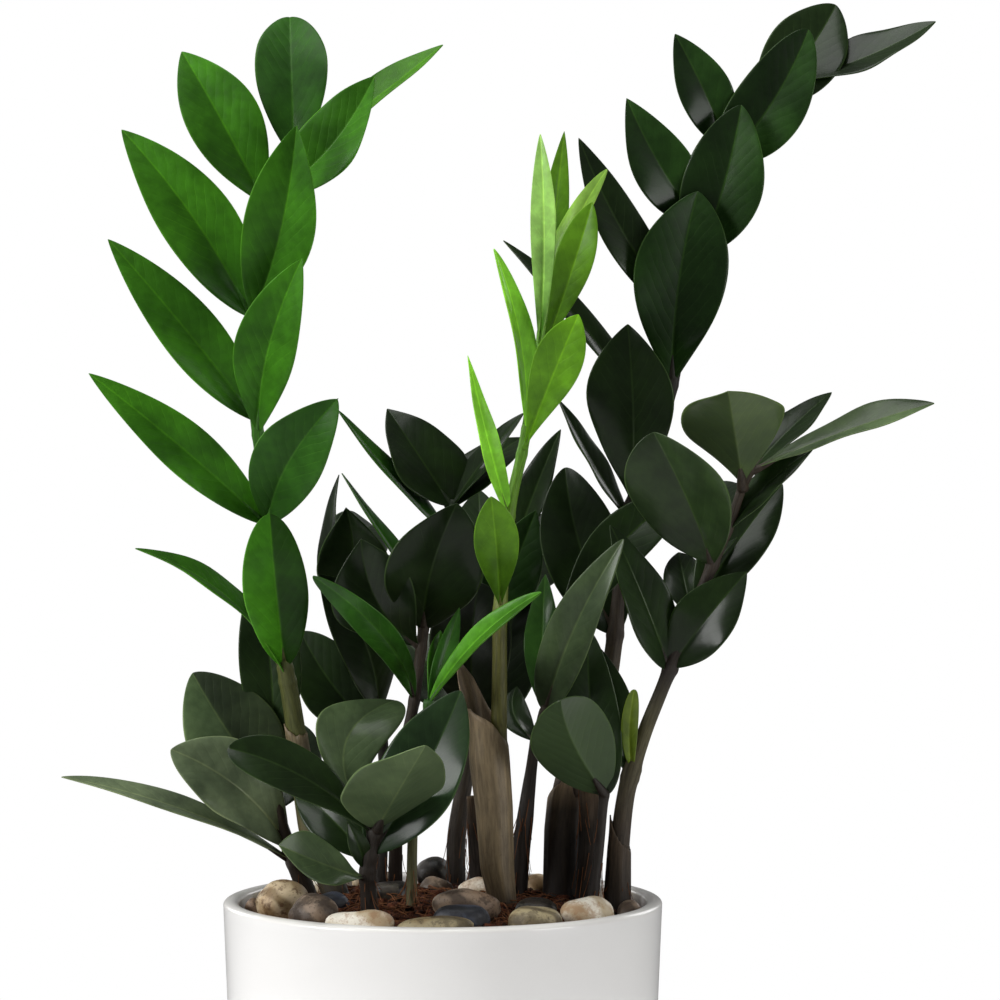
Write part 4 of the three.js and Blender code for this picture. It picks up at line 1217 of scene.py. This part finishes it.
# %% The fronds on the right
FRONDS["frond_right_tall"] = dict(
    stem=[(43, 14, 96, 6.6), (43.4, 12, 140, 6), (43.6, 12, 165, 5.9), (46.5, 13, 185, 5.3),
          (54, 14, 203, 4.3), (60, 15, 219, 3.4), (62.5, 16, 233, 3), (64.5, 17, 253, 2.9),
          (68, 18, 280, 2.6), (75.5, 19, 300, 2.4), (82.5, 20, 322, 2.1), (87.5, 21, 345, 2),
          (92, 22, 366, 1.9), (97, 23, 388, 1.7), (103, 24, 408, 1.5), (112, 26, 424, 1.3),
          (123, 28, 434, 1.2), (131, 29, 440, 1.1)],
    bark=[(140, "bark"), (186, "bark_pale"), (192, "stem_olive"), (235, "stem_brown"), (300, "stem_dark"),
          (440, "dark")],
    rough=[(140, 0.12), (183, 0.12), (190, 0.0)],
    sheath=dict(
        places=[(43.2, 13, 128, 7.4), (43.4, 12, 140, 6.9), (43.6, 12, 165, 6.5), (44.4, 12, 176, 6.2),
                (47, 13, 190, 5.6)],
        tops=[(0, 180), (90, 186), (180, 176), (230, 181), (270, 184), (310, 176), (360, 180)],
        bark=[(138, "bark"), (160, "stem_dark"), (172, "stem_brown"), (182, "chaff")],
    ),
    leaves=[
        leaf(236, (44.5, 32, 297), 31, 10, "dark", sway=0.06, belly=0.47, plump=0.65),
        leaf(278, (42, 16, 322), 15, 64, "dark", arch=0.01, sway=0.05),
        leaf(283, (67.5, 2, 349.5), 34.5, -15, "dark", sway=-0.04, belly=0.61, plump=0.88),
        leaf(310, (22, 34, 380), 17, 58, "dark", arch=0.05, sway=0.02),
        leaf(327, (93, 12, 398), 36, 4, "ivy", sway=0.04, belly=0.59, plump=0.75),
        leaf(350, (49.5, 12, 417.5), 18, 14, "dark", sway=0.06, belly=0.5),
        leaf(375, (109, 14, 429.5), 31.5, -9, "ivy", sway=-0.04, belly=0.48, plump=0.71, lift=0.4),
        leaf(384, (67, 14, 432), 23.5, 9, "ivy", sway=0.05, plump=0.9, lift=0.3),
        leaf(410, (133.5, 19, 457), 28, -5, "ivy", sway=-0.06, belly=0.43, plump=0.58, lift=0.4),
        leaf(412, (84.7, 18, 455.5), 20.5, 8, "ivy", sway=-0.01, belly=0.49, lift=0.3),
        leaf(428, (143.5, 46, 466), 30, -11, "dark", sway=-0.05, belly=0.5, plump=0.7),
        leaf(439, (180, 34, 460), 24, -58, "dark", arch=-0.05),
    ],
)
FRONDS["frond_front_right"] = dict(
    stem=[(53, -15, 96, 2.6), (55, -14, 141, 2.1), (57, -13, 158, 1.8), (59, -12, 179, 1.6)],
    bark=[(141, "bark"), (179, "stem_dark")],
    leaves=[
        leaf(178, (43, -62, 212), 31.5, 179, "grey", sway=-0.04, plump=0.63),
        leaf(177, (53, 0, 238), 21.5, 1, "dark", sway=0.03, belly=0.4, plump=0.67),
    ],
)
FRONDS["frond_right"] = dict(
    stem=[(63, 4, 96, 4.8), (63.7, 2, 140, 3.8), (64.5, 0, 158, 3.6), (67.3, -2, 180, 3.2),
          (73.5, -4, 200, 2.7), (79.5, -6, 215, 2.5), (84, -7, 226, 2.4), (89, -8, 238, 2.2),
          (94, -9, 251, 2.1), (99.5, -10, 264, 2), (105, -11, 277, 1.8), (109.5, -12, 290, 1.6),
          (113.5, -13, 298, 1.3)],
    bark=[(140, "stem_dark"), (165, "stem_brown"), (200, "stem_olive"), (222, "stem_dark"),
          (298, "stem_brown")],
    rough=[(140, 0.1), (160, 0.02)],
    sheath=dict(
        places=[(63.4, 3, 128, 5.6), (63.7, 2, 140, 5), (64.4, 0, 158, 4.3), (66, -1, 172, 3.9)],
        tops=[(0, 156), (90, 164), (180, 170), (270, 160), (360, 156)],
        bark=[(136, "bark"), (150, "stem_brown"), (168, "bark_pale")],
    ),
    leaves=[
        leaf(184, (56.5, 2, 232), 14, 12, "dark"),
        leaf(187, (69.8, -20, 216), 6.5, 0, "yellowed", sway=0.04, belly=0.62, plump=0.4),
        leaf(223, (61, -12, 276), 21, 30, "dark", sway=0.02, belly=0.4, plump=0.81),
        leaf(224, (111, -14, 259), 24, -14, "dark"),
        leaf(243, (86, 14, 266), 16, 0, "dark"),
        leaf(247, (124, 16, 291), 24, -14, "dark"),
        leaf(261, (77, -38, 310), 43, -34, "grey", sway=-0.08, belly=0.62, plump=0.65, lift=0.2),
        leaf(262, (104, 56, 292), 24, -6, "dark"),
        leaf(274, (135, -6, 303.5), 14, -44, "dark"),
        leaf(290, (104, -66, 325), 40, 177, "olive", belly=0.53, plump=1.2, lift=-0.25),
        leaf(296, (142, 12, 324.5), 17, -48, "dark", arch=0.02),
        leaf(296, (179.5, -26, 320.5), 23, -66, "pewter_sheen", arch=0.03, sway=-0.02, belly=0.63, lift=0.35),
    ],
)
print("with the right:", len(FRONDS))

# %% The young shoot
FRONDS["shoot_centre"] = dict(
    stem=[(21.5, -12, 96, 5), (21.6, -12, 138, 3.7), (20.8, -13, 160, 3.6), (20.4, -13, 185, 3.4),
          (20.4, -13, 200, 3), (20.6, -13, 215, 2.8), (20.8, -13, 240, 2.6), (22, -13, 262, 2.4),
          (25, -13, 285, 2.1), (29, -13, 303, 1.9), (32, -13, 320, 1.7), (35, -13, 340, 1.5),
          (37, -13, 355, 1.2)],
    bark=[(138, "stem_olive"), (190, "stem_olive"), (205, "stem_khaki"), (235, "stem_khaki"),
          (250, "stem_lime"), (300, "young")],
    slot="leaf_young",
    sheath=dict(
        places=[(21.9, -12, 128, 5), (21.9, -12, 138, 5), (19.9, -13, 150, 6.1), (18.7, -13, 173, 6.8),
                (17, -13, 190, 7.4), (16.2, -13, 205, 6.8), (12.4, -13, 226, 6.4)],
        tops=[(0, 195), (40, 200), (80, 209), (105, 220), (128, 227), (150, 221), (180, 211), (225, 208),
              (270, 205), (315, 199), (360, 195)],
        bark=[(136, "stem_brown"), (148, "straw"), (200, "straw"), (212, "chaff")],
    ),
    leaves=[
        leaf(245, (17.5, -40, 286.5), 17.5, 7, "sprout", belly=0.67, plump=0.74),
        leaf(279, (9, -22, 338), 9.7, 39, "neon", sway=0.07, belly=0.41, plump=1.0),
        leaf(302, (49.5, -40, 353), 19, -5, "young", belly=0.7, plump=0.77),
        leaf(311, (18.5, -24, 377), 16, 60, "neon", sway=0.02, plump=0.75),
        leaf(334, (54.5, -34, 394), 15, -11, "sprout", sway=-0.03, belly=0.7, plump=0.8),
        leaf(340, (35.5, -28, 419), 10.2, -12, "mint_sheen", sway=-0.036, fold=20, belly=0.58, plump=0.8),
        leaf(346, (60, -20, 406), 13.5, -44, "vivid", sway=0.01, plump=0.63),
        leaf(350, (44.3, -10, 420), 11, 0, "sprout", arch=0.04),
    ],
)
print("fronds:", len(FRONDS), "leaflets:", sum(len(one["leaves"]) for one in FRONDS.values()))

# %% Grow the fronds
for name, frond in FRONDS.items():
    slot = frond.get("slot", "leaf_dark")
    places, leaves, bark = frond["stem"], frond["leaves"], frond["bark"]
    heights = column(leaves, "at")[:, 0]
    roots = stem_point(places, share_at(places, heights))
    make_piece(f"{name}_leaflets", [leaflet_skins(roots, leaves)], leaf_skins[slot], [name], grown=True)
    stalk = [stem_skin(places, bark, heights, frond.get("rough", SMOOTH)), joint_skins(roots, leaves, bark)]
    if "sheath" in frond:
        stalk.append(sheath_skin(**frond["sheath"]))
    make_piece(f"{name}_stalk", stalk, stem_skins[slot], [name], grown=True)
    print(name, len(leaves), "leaflets")

# %% The old stalks
OLD_STALKS = {
    "old_stalk_right": [(50.5, -1, 96, 4.4), (52, -2, 140, 3.6), (53.3, -2, 160, 4), (54, -1, 181, 4.4)],
    "old_stalk_back": [(13, 30, 96, 3.4), (12.6, 30, 140, 2.8), (11.6, 29, 160, 2.4), (10.6, 28, 177, 2)],
}
DEAD_BARK = [(140, "bark"), (165, "stem_dark"), (178, "bark_pale")]
DEAD_ROUGH = [(140, 0.16), (178, 0.22)]
for name, places in OLD_STALKS.items():
    dry = stem_skin(places, DEAD_BARK, [], DEAD_ROUGH)
    make_piece(f"{name}_dry", [dry], stem_skins["old_stalk"], [name], grown=True)
print("old stalks:", len(OLD_STALKS))

# %% [markdown]
# ## The dry fibres
#
# Threads of dead sheath hang on the feet of the stalks, and fine roots run from them into the
# soil. They could be hair particles, but a few hundred thin tubes stay plain geometry. They are
# laid on the stalk's own surface, so that every thread starts on its skin.

# %% Lay the fibres
FIBRE_RADIUS = 0.13
fibre_luck = np.random.default_rng(11)


def stem_fibres(places, count, low, high, length, out):
    """Threads that leave a stalk's skin between two heights and hang down its side.

    At t down a thread the point is middle + (radius + out t^2) (cos a, sin a).
    """
    start, size, turn_to, bend = fibre_luck.random((4, count, 1))
    t = np.linspace(0, 1, 9)[None]
    z = low + (high - low) * start - length * (0.4 + 0.6 * size) * t
    share = share_at(places, z)
    angle = 2 * np.pi * turn_to + (bend - 0.5) * 1.6 * t
    reach = stem_radius(places, share) + 0.1 + out * (0.3 + size) * t**2
    middle = stem_point(places, share) * (1, 1, 0)
    return threads(middle + on_ring(angle, reach, 0) + z[..., None] * UP, FIBRE_RADIUS)


# Threads, the heights between which they start, their length and how far they stand off.
FIBRES = {
    "frond_left_tall": (12, 142, 160, 16, 3), "frond_left_low": (12, 140, 152, 14, 3),
    "frond_front_left": (16, 138, 150, 12, 4), "frond_front_small": (14, 140, 150, 10, 4),
    "frond_mid_left": (8, 142, 156, 12, 3), "frond_back_left": (8, 142, 156, 12, 3),
    "frond_back_centre": (14, 142, 182, 18, 2.4), "frond_front_centre": (22, 142, 178, 18, 1.6),
    "frond_right": (14, 140, 160, 16, 3), "frond_front_right": (10, 142, 174, 16, 2),
    "shoot_centre": (12, 136, 141, 9, 9), "old_stalk_right": (26, 150, 181, 20, 1.4),
    "old_stalk_back": (12, 146, 176, 18, 2),
}
fronded = {name: frond["stem"] for name, frond in FRONDS.items()} | OLD_STALKS
fibre_skins = [stem_fibres(fronded[name], *row) for name, row in FIBRES.items()]
make_piece("dry_fibres", fibre_skins, hairs.material, grown=True)
print("dry fibres:", sum(row[0] for row in FIBRES.values()))

# %% The sizes
boxes = {"cad": [list(corner) for corner in cad_box], "visual": [list(corner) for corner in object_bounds()]}
growth = (np.array(boxes["visual"]) - np.array(boxes["cad"])) / MILLIMETRE
print("grown by (mm):", growth.round(2).tolist())
